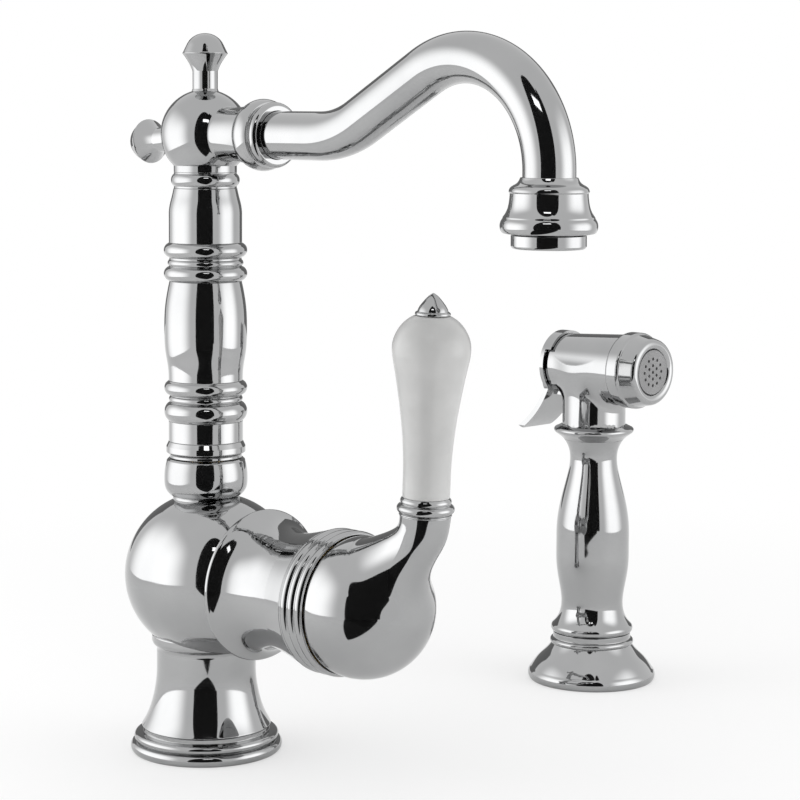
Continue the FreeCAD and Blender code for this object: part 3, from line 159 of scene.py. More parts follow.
def corner_cuts(runs, closed):
    """Length to cut from both runs at each joint; entry i is the joint before run i.
    A joint that bends by less than the corner angle is left whole."""
    heads = [run[1] - run[0] for run in runs]
    tails = [run[-1] - run[-2] for run in runs]
    lengths = [np.linalg.norm(np.diff(run, axis=0), axis=1).sum() for run in runs]
    count = len(runs)
    cuts = np.zeros(count + 1)
    for i in range(count if closed else count - 1):
        after = (i + 1) % count
        both = np.linalg.norm(tails[i]) * np.linalg.norm(heads[after])
        if tails[i] @ heads[after] < both * math.cos(CORNER_ANGLE):
            cuts[i + 1] = min(EDGE_ROUND, CORNER_SHARE * min(lengths[i], lengths[after]))
    if closed:
        cuts[0] = cuts[count]
    return cuts


def outline(start, *steps, closed=True):
    """Outline from straight runs, arcs and curves, its corners rounded off by a small parabola.
    A pair is a straight run, ("arc", middle, end) a circle and ("curve", points) a curve through points."""
    runs = []
    here = start
    for step in steps:
        if step[0] == "arc":
            runs.append(arc_run(here, step[1], step[2]))
        elif step[0] == "curve":
            runs.append(smooth_run([here] + list(step[1]), SPAN_POINTS * len(step[1]) + END_POINTS))
        else:
            runs.append(straight_run(here, step))
        here = runs[-1][-1]
    if closed:
        runs.append(straight_run(here, start))
    cuts = corner_cuts(runs, closed)
    share = np.linspace(0, 1, CORNER_POINTS + 2)[1:-1, None]
    parts = []
    for i, run in enumerate(runs):
        kept = cut_back(run, cuts[i], cuts[i + 1])
        parts.append(kept if cuts[i] > 0 or i == 0 else kept[1:])
        if cuts[i + 1] > 0:
            landing = cut_back(runs[(i + 1) % len(runs)], cuts[i + 1], 0)[0]
            toward_corner = (1 - share) ** 2 * kept[-1] + 2 * share * (1 - share) * run[-1]
            parts.append(toward_corner + share ** 2 * landing)
    points = np.concatenate(parts)
    apart = np.linalg.norm(np.diff(points, axis=0), axis=1) > SAME_POINT
    points = points[np.concatenate([[True], apart])]
    if closed and np.linalg.norm(points[0] - points[-1]) < SAME_POINT:
        points = points[:-1]
    return points


def bead(root_r, crest_r, low, high):
    """Steps of an outline over a rounded bead."""
    return [(root_r, low), ("arc", (crest_r, (low + high) / 2), (root_r, high))]


def rising(low, length, *points):
    """Curve step of an outline through points of radius and share of the length above the low end."""
    return ("curve", [(radius, low + share * length) for radius, share in points])


# Meshes


def placing(x=0.0, y=0.0, z=0.0, tilt=0.0):
    """Turn about X by the tilt in degrees, then a move, in millimetres, as a rotation and an offset."""
    a = math.radians(tilt)
    turn = np.array([[1, 0, 0], [0, math.cos(a), -math.sin(a)], [0, math.sin(a), math.cos(a)]])
    return turn, np.array([x, y, z])


UPRIGHT = placing()
VALVE_AXIS = placing(z=BALL_Z, tilt=90)
CROWN_AXIS = placing(z=CROWN_Z, tilt=90)
LEVER_AXIS = placing(y=-HUB_T - HORN_FORWARD, z=BALL_Z + HORN_UP, tilt=LEVER_LEAN)
SPRAY_AXIS = placing(SPRAY_X, SPRAY_Y)
HEAD_AXIS = placing(SPRAY_X, SPRAY_Y, HEAD_Z, 90)


def grid_faces(rows, columns, wrap_rows, wrap_columns):
    """Four-sided faces of a grid of points that closes round its rows and its columns where asked."""
    i = np.arange(rows if wrap_rows else rows - 1)[:, None]
    j = np.arange(columns if wrap_columns else columns - 1)[None, :]
    up, side = (i + 1) % rows, (j + 1) % columns
    corners = [i * columns + j, i * columns + side, up * columns + side, up * columns + j]
    return np.stack(np.broadcast_arrays(*corners), -1).reshape(-1, 4)


def volume(points, faces):
    """Enclosed volume, by the tetrahedra from the origin to the two halves of each face."""
    a, b, c, d = (points[faces[:, k]] for k in range(4))
    return (a * (np.cross(b, c) + np.cross(c, d))).sum() / 6


def shell(grid, wrap_rows):
    """Points and faces of a grid of points that closes round its columns.
    A first or last row that lies in one point becomes a single point with a fan of triangles."""
    rows, columns = grid.shape[:2]
    points = grid.reshape(-1, 3)
    faces = grid_faces(rows, columns, wrap_rows, True)
    target = np.arange(rows * columns)
    if not wrap_rows:
        for row in (0, rows - 1):
            if np.ptp(grid[row], axis=0).max() < SAME_POINT:
                target[row * columns:(row + 1) * columns] = row * columns
    faces = target[faces]
    if volume(points, faces) < 0:
        faces = faces[:, ::-1]
    return points, faces


def piece(name, shells, finish, body, *nodes, sharp=32):
    """Object of one or more shells, smooth but for edges over the sharp angle, riding on a body."""
    points, faces, start = [], [], 0
    for shell_points, shell_faces in shells:
        used, index = np.unique(shell_faces, return_inverse=True)
        points.append(shell_points[used])
        faces.append(index.reshape(shell_faces.shape) + start)
        start += len(used)
    points, quads = np.concatenate(points), np.concatenate(faces)
    low_edge = quads[:, 0] == quads[:, 1]
    left_edge = quads[:, 1] == quads[:, 2]
    high_edge = quads[:, 2] == quads[:, 3]
    right_edge = quads[:, 3] == quads[:, 0]
    whole = ~(low_edge | high_edge | left_edge | right_edge)
    fans = np.concatenate([quads[low_edge][:, 1:], quads[high_edge][:, :3],
                           quads[left_edge][:, [0, 1, 3]], quads[right_edge][:, :3]])
    mesh = bpy.data.meshes.new(name)
    mesh.from_pydata((points * MM).tolist(), [], quads[whole].tolist() + fans.tolist())
    mesh.polygons.foreach_set("use_smooth", np.ones(len(mesh.polygons), bool))
    mesh.set_sharp_from_angle(angle=math.radians(sharp))
    mesh.materials.append(finish)
    mesh.update()
    made = bpy.data.objects.new(name, mesh)
    bpy.context.scene.collection.objects.link(made)
    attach(made, body)
    if nodes:
        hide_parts(*nodes)


def turned(profile, place, sides=144, closed=True):
    """Profile of radius and height turned once round its axis, then placed."""
    angle = np.linspace(0, math.tau, sides, endpoint=False)
    radius, height = profile[:, 0, None], profile[:, 1, None]
    local = np.stack([radius * np.cos(angle), radius * np.sin(angle), height + 0 * angle], -1)
    turn, offset = place
    return shell(local @ turn.T + offset, closed)


def lathe(name, finish, body, place, start, *steps, sides=144):
    """Turned ring or button that stands for the CAD node of the same name; a button starts on the axis."""
    ring = start[0] != 0
    profile = outline(start, *steps, closed=ring)
    piece(name + "_turned", [turned(profile, place, sides, ring)], finish, body, name)


# Finishes

PATTERN_LOW = 0.3
PATTERN_HIGH = 0.7


def finish_material(name, slot):
    """New material of a slot of the record, with its nodes, links and main shader."""
    material = bpy.data.materials.new(name)
    material.use_nodes = True
    material["record_slot"] = slot
    nodes = material.node_tree.nodes
    return material, nodes, material.node_tree.links, nodes["Principled BSDF"]


def object_noise(nodes, links, scale, detail, roughness=0.5):
    """Cloudy pattern fixed to the piece."""
    place = nodes.new("ShaderNodeTexCoord")
    noise = nodes.new("ShaderNodeTexNoise")
    noise.inputs["Scale"].default_value = scale
    noise.inputs["Detail"].default_value = detail
    noise.inputs["Roughness"].default_value = roughness
    links.new(place.outputs["Object"], noise.inputs["Vector"])
    return noise.outputs["Fac"]


def tint(nodes, links, shader, pattern, low, high):
    """Base colour that runs from one colour to another with the pattern."""
    colours = nodes.new("ShaderNodeValToRGB")
    colours.color_ramp.elements[0].position = PATTERN_LOW
    colours.color_ramp.elements[0].color = (*low, 1)
    colours.color_ramp.elements[1].position = PATTERN_HIGH
    colours.color_ramp.elements[1].color = (*high, 1)
    links.new(pattern, colours.inputs["Fac"])
    links.new(colours.outputs["Color"], shader.inputs["Base Color"])


def uneven_gloss(nodes, links, shader, pattern, low, high):
    """Roughness that runs from one number to another with the pattern."""
    reach = nodes.new("ShaderNodeMapRange")
    reach.inputs["From Min"].default_value = PATTERN_LOW
    reach.inputs["From Max"].default_value = PATTERN_HIGH
    reach.inputs["To Min"].default_value = low
    reach.inputs["To Max"].default_value = high
    links.new(pattern, reach.inputs["Value"])
    links.new(reach.outputs["Result"], shader.inputs["Roughness"])


def relief(nodes, links, shader, pattern, strength, distance):
    """Fine bumps that follow the pattern."""
    bump = nodes.new("ShaderNodeBump")
    bump.inputs["Strength"].default_value = strength
    bump.inputs["Distance"].default_value = distance
    links.new(pattern, bump.inputs["Height"])
    links.new(bump.outputs["Normal"], shader.inputs["Normal"])


def chrome_plate():
    """Bright plating: nearly a mirror, with faint wiping haze and a slight buffing ripple."""
    material, nodes, links, shader = finish_material("chrome_plate", "chrome")
    shader.inputs["Metallic"].default_value = 1.0
    haze = object_noise(nodes, links, scale=38.0, detail=4.0)
    tint(nodes, links, shader, haze, low=(0.37, 0.373, 0.376), high=(0.41, 0.412, 0.414))
    wipe = object_noise(nodes, links, scale=140.0, detail=5.0, roughness=0.6)
    uneven_gloss(nodes, links, shader, wipe, low=0.035, high=0.075)
    ripple = object_noise(nodes, links, scale=70.0, detail=1.0)
    relief(nodes, links, shader, ripple, strength=0.05, distance=0.0002)
    return material


def porcelain_glaze():
    """White glazed porcelain: soft gloss, faint mottling under the glaze."""
    material, nodes, links, shader = finish_material("porcelain_glaze", "porcelain")
    mottle = object_noise(nodes, links, scale=90.0, detail=6.0)
    tint(nodes, links, shader, mottle, low=(0.455, 0.455, 0.45), high=(0.51, 0.51, 0.505))
    shader.inputs["Roughness"].default_value = 0.34
    shader.inputs["Coat Weight"].default_value = 0.35
    shader.inputs["Coat Roughness"].default_value = 0.12
    glaze = object_noise(nodes, links, scale=260.0, detail=2.0)
    relief(nodes, links, shader, glaze, strength=0.06, distance=0.0002)
    return material


def seal_rubber():
    """Black sealing rubber with a dusty, fine-grained face."""
    material, nodes, links, shader = finish_material("seal_rubber", "rubber")
    dust = object_noise(nodes, links, scale=160.0, detail=6.0)
    tint(nodes, links, shader, dust, low=(0.018, 0.018, 0.018), high=(0.05, 0.05, 0.052))
    shader.inputs["Roughness"].default_value = 0.7
    grain = object_noise(nodes, links, scale=900.0, detail=3.0)
    relief(nodes, links, shader, grain, strength=0.25, distance=0.0003)
    return material


def turned_brass():
    """Bare brass with the fine rings of the lathe tool."""
    material, nodes, links, shader = finish_material("turned_brass", "brass")
    shader.inputs["Metallic"].default_value = 1.0
    tone = object_noise(nodes, links, scale=55.0, detail=5.0)
    tint(nodes, links, shader, tone, low=(0.62, 0.44, 0.18), high=(0.74, 0.56, 0.26))
    uneven_gloss(nodes, links, shader, tone, low=0.22, high=0.36)
    place = nodes.new("ShaderNodeTexCoord")
    rings = nodes.new("ShaderNodeTexWave")
    rings.bands_direction = "Z"
    rings.inputs["Scale"].default_value = 900.0
    rings.inputs["Distortion"].default_value = 0.6
    links.new(place.outputs["Object"], rings.inputs["Vector"])
    relief(nodes, links, shader, rings.outputs["Fac"], strength=0.12, distance=0.0001)
    return material


def satin_steel():
    """Stainless steel with a fine satin grain."""
    material, nodes, links, shader = finish_material("satin_steel", "satin_steel")
    shader.inputs["Metallic"].default_value = 1.0
    grain = object_noise(nodes, links, scale=420.0, detail=6.0, roughness=0.7)
    tint(nodes, links, shader, grain, low=(0.46, 0.465, 0.47), high=(0.58, 0.585, 0.59))
    uneven_gloss(nodes, links, shader, grain, low=0.24, high=0.38)
    relief(nodes, links, shader, grain, strength=0.08, distance=0.0001)
    return material


def lapped_ceramic():
    """Off-white ceramic disc, lapped to a dull polish."""
    material, nodes, links, shader = finish_material("lapped_ceramic", "ceramic")
    fleck = object_noise(nodes, links, scale=500.0, detail=6.0)
    tint(nodes, links, shader, fleck, low=(0.74, 0.72, 0.67), high=(0.84, 0.83, 0.79))
    shader.inputs["Roughness"].default_value = 0.22
    relief(nodes, links, shader, fleck, strength=0.05, distance=0.0001)
    return material


def moulded_plastic(slot, low, high, roughness):
    """Moulded plastic with a fine spark-eroded grain, named after its slot."""
    material, nodes, links, shader = finish_material(slot, slot)
    cloud = object_noise(nodes, links, scale=60.0, detail=4.0)
    tint(nodes, links, shader, cloud, low, high)
    shader.inputs["Roughness"].default_value = roughness
    grain = object_noise(nodes, links, scale=1400.0, detail=2.0)
    relief(nodes, links, shader, grain, strength=0.18, distance=0.0002)
    return material


CHROME = chrome_plate()
PORCELAIN = porcelain_glaze()
FINISH_OF_SLOT = {
    "chrome": CHROME,
    "porcelain": PORCELAIN,
    "rubber": seal_rubber(),
    "brass": turned_brass(),
    "satin_steel": satin_steel(),
    "ceramic": lapped_ceramic(),
    "cartridge_plastic": moulded_plastic("cartridge_plastic", (0.70, 0.70, 0.67), (0.78, 0.78, 0.75), 0.45),
    "grey_plastic": moulded_plastic("grey_plastic", (0.20, 0.20, 0.203), (0.26, 0.26, 0.263), 0.42),
}


def finish_solids():
    """Every solid of the frame takes the finish of its material slot."""
    for row in frame["record"]["subparts"]:
        solid = frame["nodes"][row["node"]]
        finish = FINISH_OF_SLOT[row["material_slot"]]
        if not solid.material_slots:
            solid.data.materials.append(finish)
        for place in solid.material_slots:
            place.material = finish


# Base and valve


def base_foot():
    """Bell foot: rounded rim and step, a flare up to the waist, a hollow and a collar under the ball."""
    bore, top = 16.6, 47.0
    hollow, hollow_top = 21.0, 9.0
    groove_in, groove_out, groove_top = 22.4, 26.6, 1.6
    waist = 19.6
    lathe("base_foot", CHROME, "faucet_body", UPRIGHT,
          (hollow, 0), (groove_in, 0), (groove_in, groove_top), (groove_out, groove_top), (groove_out, 0),
          (29.1, 0), ("arc", (30.0, 2.0), (29.1, 4.0)),
          (27.4, 4.3), ("arc", (28.6, 5.95), (27.4, 7.6)),
          (25.0, 8.0), (25.0, 9.6), (25.6, 10.2),
          ("curve", [(23.2, 14.76), (20.8, 22.51), (waist, 33.0)]), (waist, 40.2),
          ("arc", (19.9, 41.8), (20.6, 42.6)), ("arc", (21.3, 43.6), (21.5, 44.6)),
          (21.5, 46.4), (20.9, top), (bore, top), (bore, hollow_top), (hollow, hollow_top), sides=192)


def valve_body():
    """Drawn-out ball and barrel as one turned form about the valve axis, laid just over the casting.
    The ball is an arc back from the straight run between its halves, and an arc on from it to the seam."""
    over = 0.03
    ball = BALL_R + over
    stretch, seam = 6.0, 28.5
    back_rows, front_rows = 60, 36
    back_turn = np.linspace(-math.pi / 2, 0, back_rows)
    front_turn = np.linspace(0, math.asin((seam - stretch) / ball), front_rows)
    half_turn = np.concatenate([back_turn, front_turn])
    forward = np.concatenate([np.zeros(back_rows), np.full(front_rows, stretch)])
    body = np.stack([ball * np.cos(half_turn), ball * np.sin(half_turn) + forward], 1)
    body[0, 0] = 0.0
    ring_seat, ring_floor = 20.6, 58.7
    pocket, pocket_floor = 17.5, 48.7
    barrel = outline(tuple(body[-1]),
                     (28.83, 32.5), ("arc", (29.23, 33.4), (28.83, 34.3)),
                     ("curve", [(26.48, 36.29), (24.67, 38.84), (23.27, 42.82), (22.53, 48.5),
                                (23.56, 58.72), (26.63, BARREL_END_T)]),
                     (ring_seat, BARREL_END_T), (ring_seat, ring_floor), (pocket, ring_floor),
                     (pocket, pocket_floor), (0.0, pocket_floor), closed=False)
    profile = np.concatenate([body, barrel[1:]])
    form = turned(profile, VALVE_AXIS, sides=216, closed=False)
    piece("valve_body_turned", [form], CHROME, "faucet_body", sharp=24)


def swivel_collar():
    """Bulb collar on a short beaded neck, with a spigot down into the body."""
    bore, spigot, spigot_low = 9.06, 10.9, 88.6
    foot, neck_top, top = 99.6, 101.6, 116.6
    lathe("swivel_collar", CHROME, "faucet_body", UPRIGHT,
          (bore, spigot_low), (spigot, spigot_low), (spigot, foot), *bead(12.7, 13.0, foot, neck_top),
          (13.8, neck_top + 0.3),
          ("curve", [(15.9, neck_top + 3.0), (16.4, neck_top + 6.75), (16.1, neck_top + 11.25),
                     (15.4, neck_top + 14.25)]),
          (14.6, top), (bore, top))


def bead_ring(name, low, high, low_bead, groove, end):
    """Two beads with a thin bead between them, close above the lower one."""
    root, crest, margin = 14.9, 16.3, 0.4
    high_bead, thin_bead, thin_rise = 5.0, 2.6, 0.7
    thin = low + low_bead + 2 * margin
    lathe(name, CHROME, "spout", UPRIGHT,
          (RISER_BORE, low), (end, low), *bead(root, crest, low + margin, low + margin + low_bead),
          *bead(groove, groove + thin_rise, thin, thin + thin_bead), (groove, high - high_bead - 2 * margin),
          *bead(root, crest, high - high_bead - margin, high - margin), (end, high), (RISER_BORE, high))


def column():
    """Turned sleeves and bead rings of the column, each on top of the last."""
    swivel_h, lower_h, lower_beads_h = 6.5, 8.0, 15.9
    middle_h, upper_beads_h, upper_h = 39.2, 15.0, 21.3
    bore, lower_r, upper_r = RISER_BORE, 14.6, 14.3
    z, top = COLUMN_Z, COLUMN_Z + swivel_h
    lathe("swivel_ring", CHROME, "spout", UPRIGHT,
          (bore, z), (14.2, z), (14.2, z + 1.2), (15.6, z + 2.2), (15.6, z + 4.4), (lower_r, top),
          (bore, top))
    z, top = top, top + lower_h
    lathe("lower_sleeve", CHROME, "spout", UPRIGHT, (bore, z), (lower_r, z), (lower_r, top), (bore, top))
    z, top = top, top + lower_beads_h
    bead_ring("lower_bead_ring", z, top, low_bead=6.5, groove=13.8, end=lower_r)
    z, top = top, top + middle_h
    lathe("middle_sleeve", CHROME, "spout", UPRIGHT,
          (bore, z), (14.55, z),
          rising(z, middle_h, (14.8, 0.13), (15.8, 0.29), (16.2, 0.5), (15.9, 0.73), (15.0, 0.89), (14.1, 1)),
          (bore, top))
    z, top = top, top + upper_beads_h
    bead_ring("upper_bead_ring", z, top, low_bead=5.0, groove=14.1, end=upper_r)
    z, top = top, top + upper_h
    lathe("upper_sleeve", CHROME, "spout", UPRIGHT,
          (bore, z), (upper_r, z), (upper_r, z + 0.56 * upper_h),
          rising(z, upper_h, (13.9, 0.7), (13.1, 0.85), (12.4, 1)), (bore, top))
    z, top = top, CROWN_BASE_Z
    lathe("crown_bead", CHROME, "spout", UPRIGHT,
          (bore, z), (CROWN_NECK_R, z), *bead(12.2, 13.4, z + 0.8, top - 0.5), (CROWN_NECK_R, top),
          (bore, top))


def crown():
    """Ball with the spout's boss as one turned form about the spout axis, on a short neck."""
    boss_r, neck_top = 10.4, 238.0
    blend, blend_l = 13.2, 3.6
    half_turn = np.linspace(-math.pi / 2, math.asin(blend / CROWN_R), 80)
    ball = CROWN_R * np.stack([np.cos(half_turn), np.sin(half_turn)], 1)
    ball[0, 0] = 0.0
    hollow = ball[-1, 0] - boss_r
    boss = outline(tuple(ball[-1]),
                   ("curve", [(boss_r + 0.32 * hollow, blend + 0.2 * blend_l),
                              (boss_r + 0.06 * hollow, blend + 0.55 * blend_l),
                              (boss_r, blend + blend_l), (10.55, 21.5), (11.6, BOSS_END)]),
                   (SOCKET_R, BOSS_END), (SOCKET_R, SPOUT_START), (0.0, SPOUT_START), closed=False)
    profile = np.concatenate([ball, boss[1:]])
    neck = outline((RISER_BORE, CROWN_BASE_Z), (CROWN_NECK_R, CROWN_BASE_Z), (CROWN_NECK_R, neck_top),
                   (RISER_BORE, neck_top))
    forms = [turned(profile, CROWN_AXIS, sides=168, closed=False), turned(neck, UPRIGHT)]
    piece("crown_ball_turned", forms, CHROME, "spout", "crown_ball", sharp=24)


def finial(name, place, neck):
    """Turned button on a neck of the length given, with its screw in the ball."""
    screw_r, screw_l, neck_r = 3.0, 8.0, 4.9
    lathe(name, CHROME, "spout", place,
          (0, -screw_l), (screw_r, -screw_l), (screw_r, 0), (FINIAL_FOOT_R, 0), (neck_r, 1.0), (neck_r, neck),
          ("curve", [(5.93, neck + 2.52), (7.26, neck + 4.76), (8.7, neck + 6.8)]),
          ("arc", (8.8, neck + 7.0), (8.6, neck + 7.3)),
          ("curve", [(7.57, neck + 9.5), (6.26, neck + 11.84), (3.83, neck + 13.86), (0, neck + 14.8)]),
          sides=112)


def finials():
    """One finial on top of the ball, and a longer one at its back that droops a little."""
    seat = math.sqrt(CROWN_R ** 2 - FINIAL_FOOT_R ** 2)
    droop = 5.5
    back, drop = seat * math.cos(math.radians(droop)), seat * math.sin(math.radians(droop))
    finial("top_finial", placing(z=CROWN_Z + seat), neck=7.8)
    finial("side_finial", placing(y=back, z=CROWN_Z - drop, tilt=-90 - droop), neck=10.4)


# Spout


def spout_line(count):
    """Centre line of the spout: level root, a bend up, a straight rise, a bend over and a straight drop.
    Each stretch is a straight run or a circle; the stations are spaced evenly along it."""
    rise = math.radians(29.0)
    turn_over = rise + math.pi / 2
    low_r, top_r = 45.0, 39.0
    bend, drop = 65.5, 10.9
    run = (SPOUT_REACH - bend - (low_r + top_r) * math.sin(rise) - top_r) / math.cos(rise)
    lengths = np.array([bend - SPOUT_START, low_r * rise, run, top_r * turn_over, drop])
    ends = np.concatenate([[0.0], np.cumsum(lengths)])
    station = np.linspace(0, ends[-1], count)
    turned_up = np.clip((station - ends[1]) / low_r, 0, rise)
    turned_down = np.clip((station - ends[3]) / top_r, 0, turn_over)
    slope = turned_up - turned_down
    step = station[1] - station[0]
    between = (slope[1:] + slope[:-1]) / 2
    forward = SPOUT_START + np.concatenate([[0.0], np.cumsum(step * np.cos(between))])
    height = CROWN_Z + np.concatenate([[0.0], np.cumsum(step * np.sin(between))])
    return forward, height, slope


def spout_tube():
    """Round tube carried along the centre line, its bore carried back inside it."""
    wall = 1.2
    forward, height, slope = (line[:, None] for line in spout_line(count=420))
    angle = np.linspace(0, math.tau, 96, endpoint=False)[None, :]

    def skin(radius):
        """Circle of the radius at every station, square to the line."""
        side, out = radius * np.sin(angle), radius * np.cos(angle)
        return np.stack([side + 0 * slope, out * np.sin(slope) - forward, out * np.cos(slope) + height], -1)

    grid = np.concatenate([skin(SPOUT_R), skin(SPOUT_R - wall)[::-1]])
    piece("spout_tube_bent", [shell(grid, True)], CHROME, "spout", "spout_tube")


def spout_fittings():
    """Collar at the root, bell nozzle and aerator collar."""
    length = 12.6
    lathe("spout_collar", CHROME, "spout", placing(y=-BOSS_END, z=CROWN_Z, tilt=90),
          (SOCKET_R, 0), (12.3, 0), *bead(12.7, 13.7, 1.0, 0.65 * length), (11.8, 0.67 * length),
          (11.8, 0.72 * length), *bead(11.7, 12.5, 0.73 * length, 0.97 * length), (11.1, length),
          (SOCKET_R, length))
    end = placing(y=-SPOUT_REACH, z=SPOUT_END_Z)
    thread, thread_top, waterway, rim = 11.8, -3.8, 7.9, -10.2
    lathe("spout_nozzle", CHROME, "spout", end,
          (SOCKET_R, 9.0), (SOCKET_R + 0.6, 9.0),
          ("curve", [(SOCKET_R + 1.7, 7.1), (13.3, 5.4), (13.7, 4.2)]), (13.3, 3.7),
          ("curve", [(13.5, 1.2), (14.3, -2.2), (15.6, -4.3)]), *bead(15.75, 16.65, -4.9, -9.8),
          (13.45, rim), (thread, rim), (thread, thread_top), (waterway, thread_top), (waterway, 0),
          (SOCKET_R, 0))
    inner, mouth, screw, knurl = 10.0, 9.0, 11.7, 12.85
    screw_top, screw_low, shelf, low = -4.9, -10.5, -14.1, -15.1
    lathe("aerator_housing", CHROME, "spout", end,
          (inner, screw_top), (screw, screw_top), (screw, screw_low), (knurl, screw_low), (knurl, -13.9),
          ("arc", (12.5, -14.75), (11.65, low)), (mouth, low), (mouth, shelf), (inner, shelf))


# Lever


def trim_ring():
    """Triple-beaded ring on the barrel, hollowed to seat the ball hub."""
    bore, play = 20.8, 0.3
    root, crest = 26.3, 27.3
    margin, gap, rim_gap = 0.6, 0.3, 0.4
    front = HUB_T - HUB_RIM - rim_gap
    third = (front - BARREL_END_T - 2 * margin) / 3
    beads = []
    for i in range(3):
        low = BARREL_END_T + margin + i * third
        beads += bead(root, crest, low + gap, low + third - gap)

    def seat(along):
        """Radius of the ball-shaped seat at a place along the axis."""
        return math.sqrt((HUB_R + play) ** 2 - (HUB_T - along) ** 2)

    deep = HUB_T - math.sqrt((HUB_R + play) ** 2 - bore ** 2)
    middle = (front + deep) / 2
    lathe("trim_ring", CHROME, "faucet_body", VALVE_AXIS,
          (bore, BARREL_END_T), (26.6, BARREL_END_T), *beads, (26.5, front), (seat(front), front),
          ("arc", (seat(middle), middle), (bore, deep)), sides=216)


def lever_hub():
    """Hollow ball that draws out into a horn under the grip.
    Rings of points, the horn's circles first and then circles on the ball that swing over to its rim,
    are joined by a smooth curve through each row of matching points; the inside is a smaller ball."""
    around = np.linspace(0, math.tau, 144, endpoint=False)
    cos, sin = np.cos(around)[:, None], np.sin(around)[:, None]
    across = np.array([1.0, 0, 0])

    def ring(forward, up, radius, slope):
        """Circle of the horn, square to a line that rises at the slope in degrees."""
        a = math.radians(slope)
        side = np.array([0.0, math.cos(a), -math.sin(a)])
        return np.array([0.0, up, forward]) + radius * (cos * side + sin * across)

    def ball_ring(radius, tilt, opening):
        """Circle on a ball, at the opening angle round an axis that rises at the tilt, in degrees."""
        a, p = math.radians(tilt), math.radians(opening)
        axis = np.array([0.0, math.sin(a), math.cos(a)])
        side = np.array([0.0, math.cos(a), -math.sin(a)])
        return radius * (math.cos(p) * axis + math.sin(p) * (cos * side + sin * across))

    rows, ball_from = 150, 0.62
    ball_rings, inner_rings = 9, 40
    horn_tilt, horn_opening, rim_opening = 45, 42, 102.3
    horn = [ring(HORN_FORWARD, HORN_UP, HORN_R, 90 - LEVER_LEAN), ring(30.2, 35.4, 9.2, 82),
            ring(29.5, 32.8, 9.2, 70), ring(26.2, 27.7, 9.4, 51), ring(20.8, 22.3, 11.3, 45)]
    tilts = np.linspace(horn_tilt, 0, ball_rings)
    openings = np.linspace(horn_opening, rim_opening, ball_rings)
    ball = [ball_ring(HUB_R, tilt, opening) for tilt, opening in zip(tilts, openings)]
    skin = smooth_run(np.array(horn + ball), rows)
    from_centre = np.linalg.norm(skin, axis=-1, keepdims=True)
    on_ball = np.linspace(0, 1, rows)[:, None, None] > ball_from
    skin = np.where(on_ball, skin * HUB_R / from_centre, skin)
    inner_openings = np.linspace(rim_opening, 0, inner_rings)
    inside = np.array([ball_ring(HUB_R - HUB_WALL, 0, opening) for opening in inner_openings])
    cap = np.repeat(skin[:1].mean(1, keepdims=True), len(around), 1)
    grid = np.concatenate([cap, skin, inside]) + np.array([0, 0, HUB_T])
    turn, offset = VALVE_AXIS
    piece("lever_hub_horn", [shell(grid @ turn.T + offset, False)], CHROME, "lever", "lever_hub")


def lever_handle():
    """Ferrule, porcelain grip and its finial, on the lever's leaning axis."""
    bore, root_r = 3.1, 8.6
    low, grip_l, finial_h = 6.9, 65.4, 8.2
    top = low + grip_l
    rod_end = top + 2.9
    lathe("lever_ferrule", CHROME, "lever", LEVER_AXIS,
          (bore, 0), (HORN_R, 0), *bead(9.2, 9.6, 0.2, 1.0), *bead(9.2, 10.5, 1.1, low - 2.6),
          *bead(9.0, 9.3, low - 2.4, low - 0.6), (root_r, low), (bore, low))
    lathe("lever_grip", PORCELAIN, "lever", LEVER_AXIS,
          (bore, low), (root_r, low), (root_r, low + 0.12 * grip_l),
          rising(low, grip_l, (9.315, 0.33), (11.68, 0.59), (13.385, 0.73), (14.1, 0.84), (12.45, 0.914),
                 (9.92, 0.964), (6.4, 1)),
          (bore, top))
    lathe("lever_finial", CHROME, "lever", LEVER_AXIS,
          (0, rod_end), (bore, rod_end), (bore, top), *bead(6.1, 6.4, top, top + 1.3), (5.57, top + 1.5),
          rising(top, finial_h, (5.12, 0.33), (3.58, 0.6), (1.92, 0.83), (0, 1)), sides=96)


# Side spray


def spray_stand():
    """Deck holder, and the turned handle with the flange under the head."""
    entry, seat, seat_z = 13.0, 14.0, 9.0
    groove_in, groove_out, groove_top = 20.9, 25.6, 1.2
    rim, rim_z = 17.2, 21.2
    lathe("spray_holder", CHROME, "faucet_body", SPRAY_AXIS,
          (entry, 0), (groove_in, 0), (groove_in, groove_top), (groove_out, groove_top), (groove_out, 0),
          (27.4, 0), ("arc", (28.3, 2.25), (27.2, 5.0)),
          ("curve", [(23.86, 9.5), (20.02, 13.25), (17.9, 16.0)]), *bead(18.0, 18.6, 16.2, 18.4),
          (rim, 18.8), (rim, rim_z), (seat, rim_z), (seat, seat_z), (entry, seat_z), sides=176)
    low, length = 21.5, 86.5
    top = low + length
    waist, swell, neck, head_end = 13.8, 16.2, 10.5, 13.4
    plug, plug_z = 12.1, 10.0
    hose, hose_top, waterway = 4.5, 24.0, 3.6
    lathe("spray_handle", CHROME, "spray", SPRAY_AXIS,
          (hose, plug_z), (plug, plug_z), (plug, low),
          (17.3, low), ("arc", (18.2, low + 1.7), (17.5, low + 3.4)),
          rising(low, length, (waist + 1.4, 0.074), (waist, 0.127), (waist + 0.1, 0.19), (waist + 1.5, 0.285),
                 (swell - 0.1, 0.36), (swell, 0.45), (swell - 0.1, 0.55), (swell - 1.95, 0.69),
                 (neck + 1.1, 0.81), (neck, 0.88), (neck + 0.5, 0.948), (head_end, 1)),
          (waterway, top), (waterway, hose_top), (hose, hose_top))
    bore, height = 8.0, 6.2
    lathe("spray_flange", CHROME, "spray", SPRAY_AXIS,
          (bore, top), (head_end, top), rising(top, height, (15.0, 0.24), (16.8, 0.45), (17.5, 0.55)),
          ("arc", (17.7, top + 0.69 * height), (17.1, top + 0.84 * height)),
          (15.0, top + height), (bore, top + height))


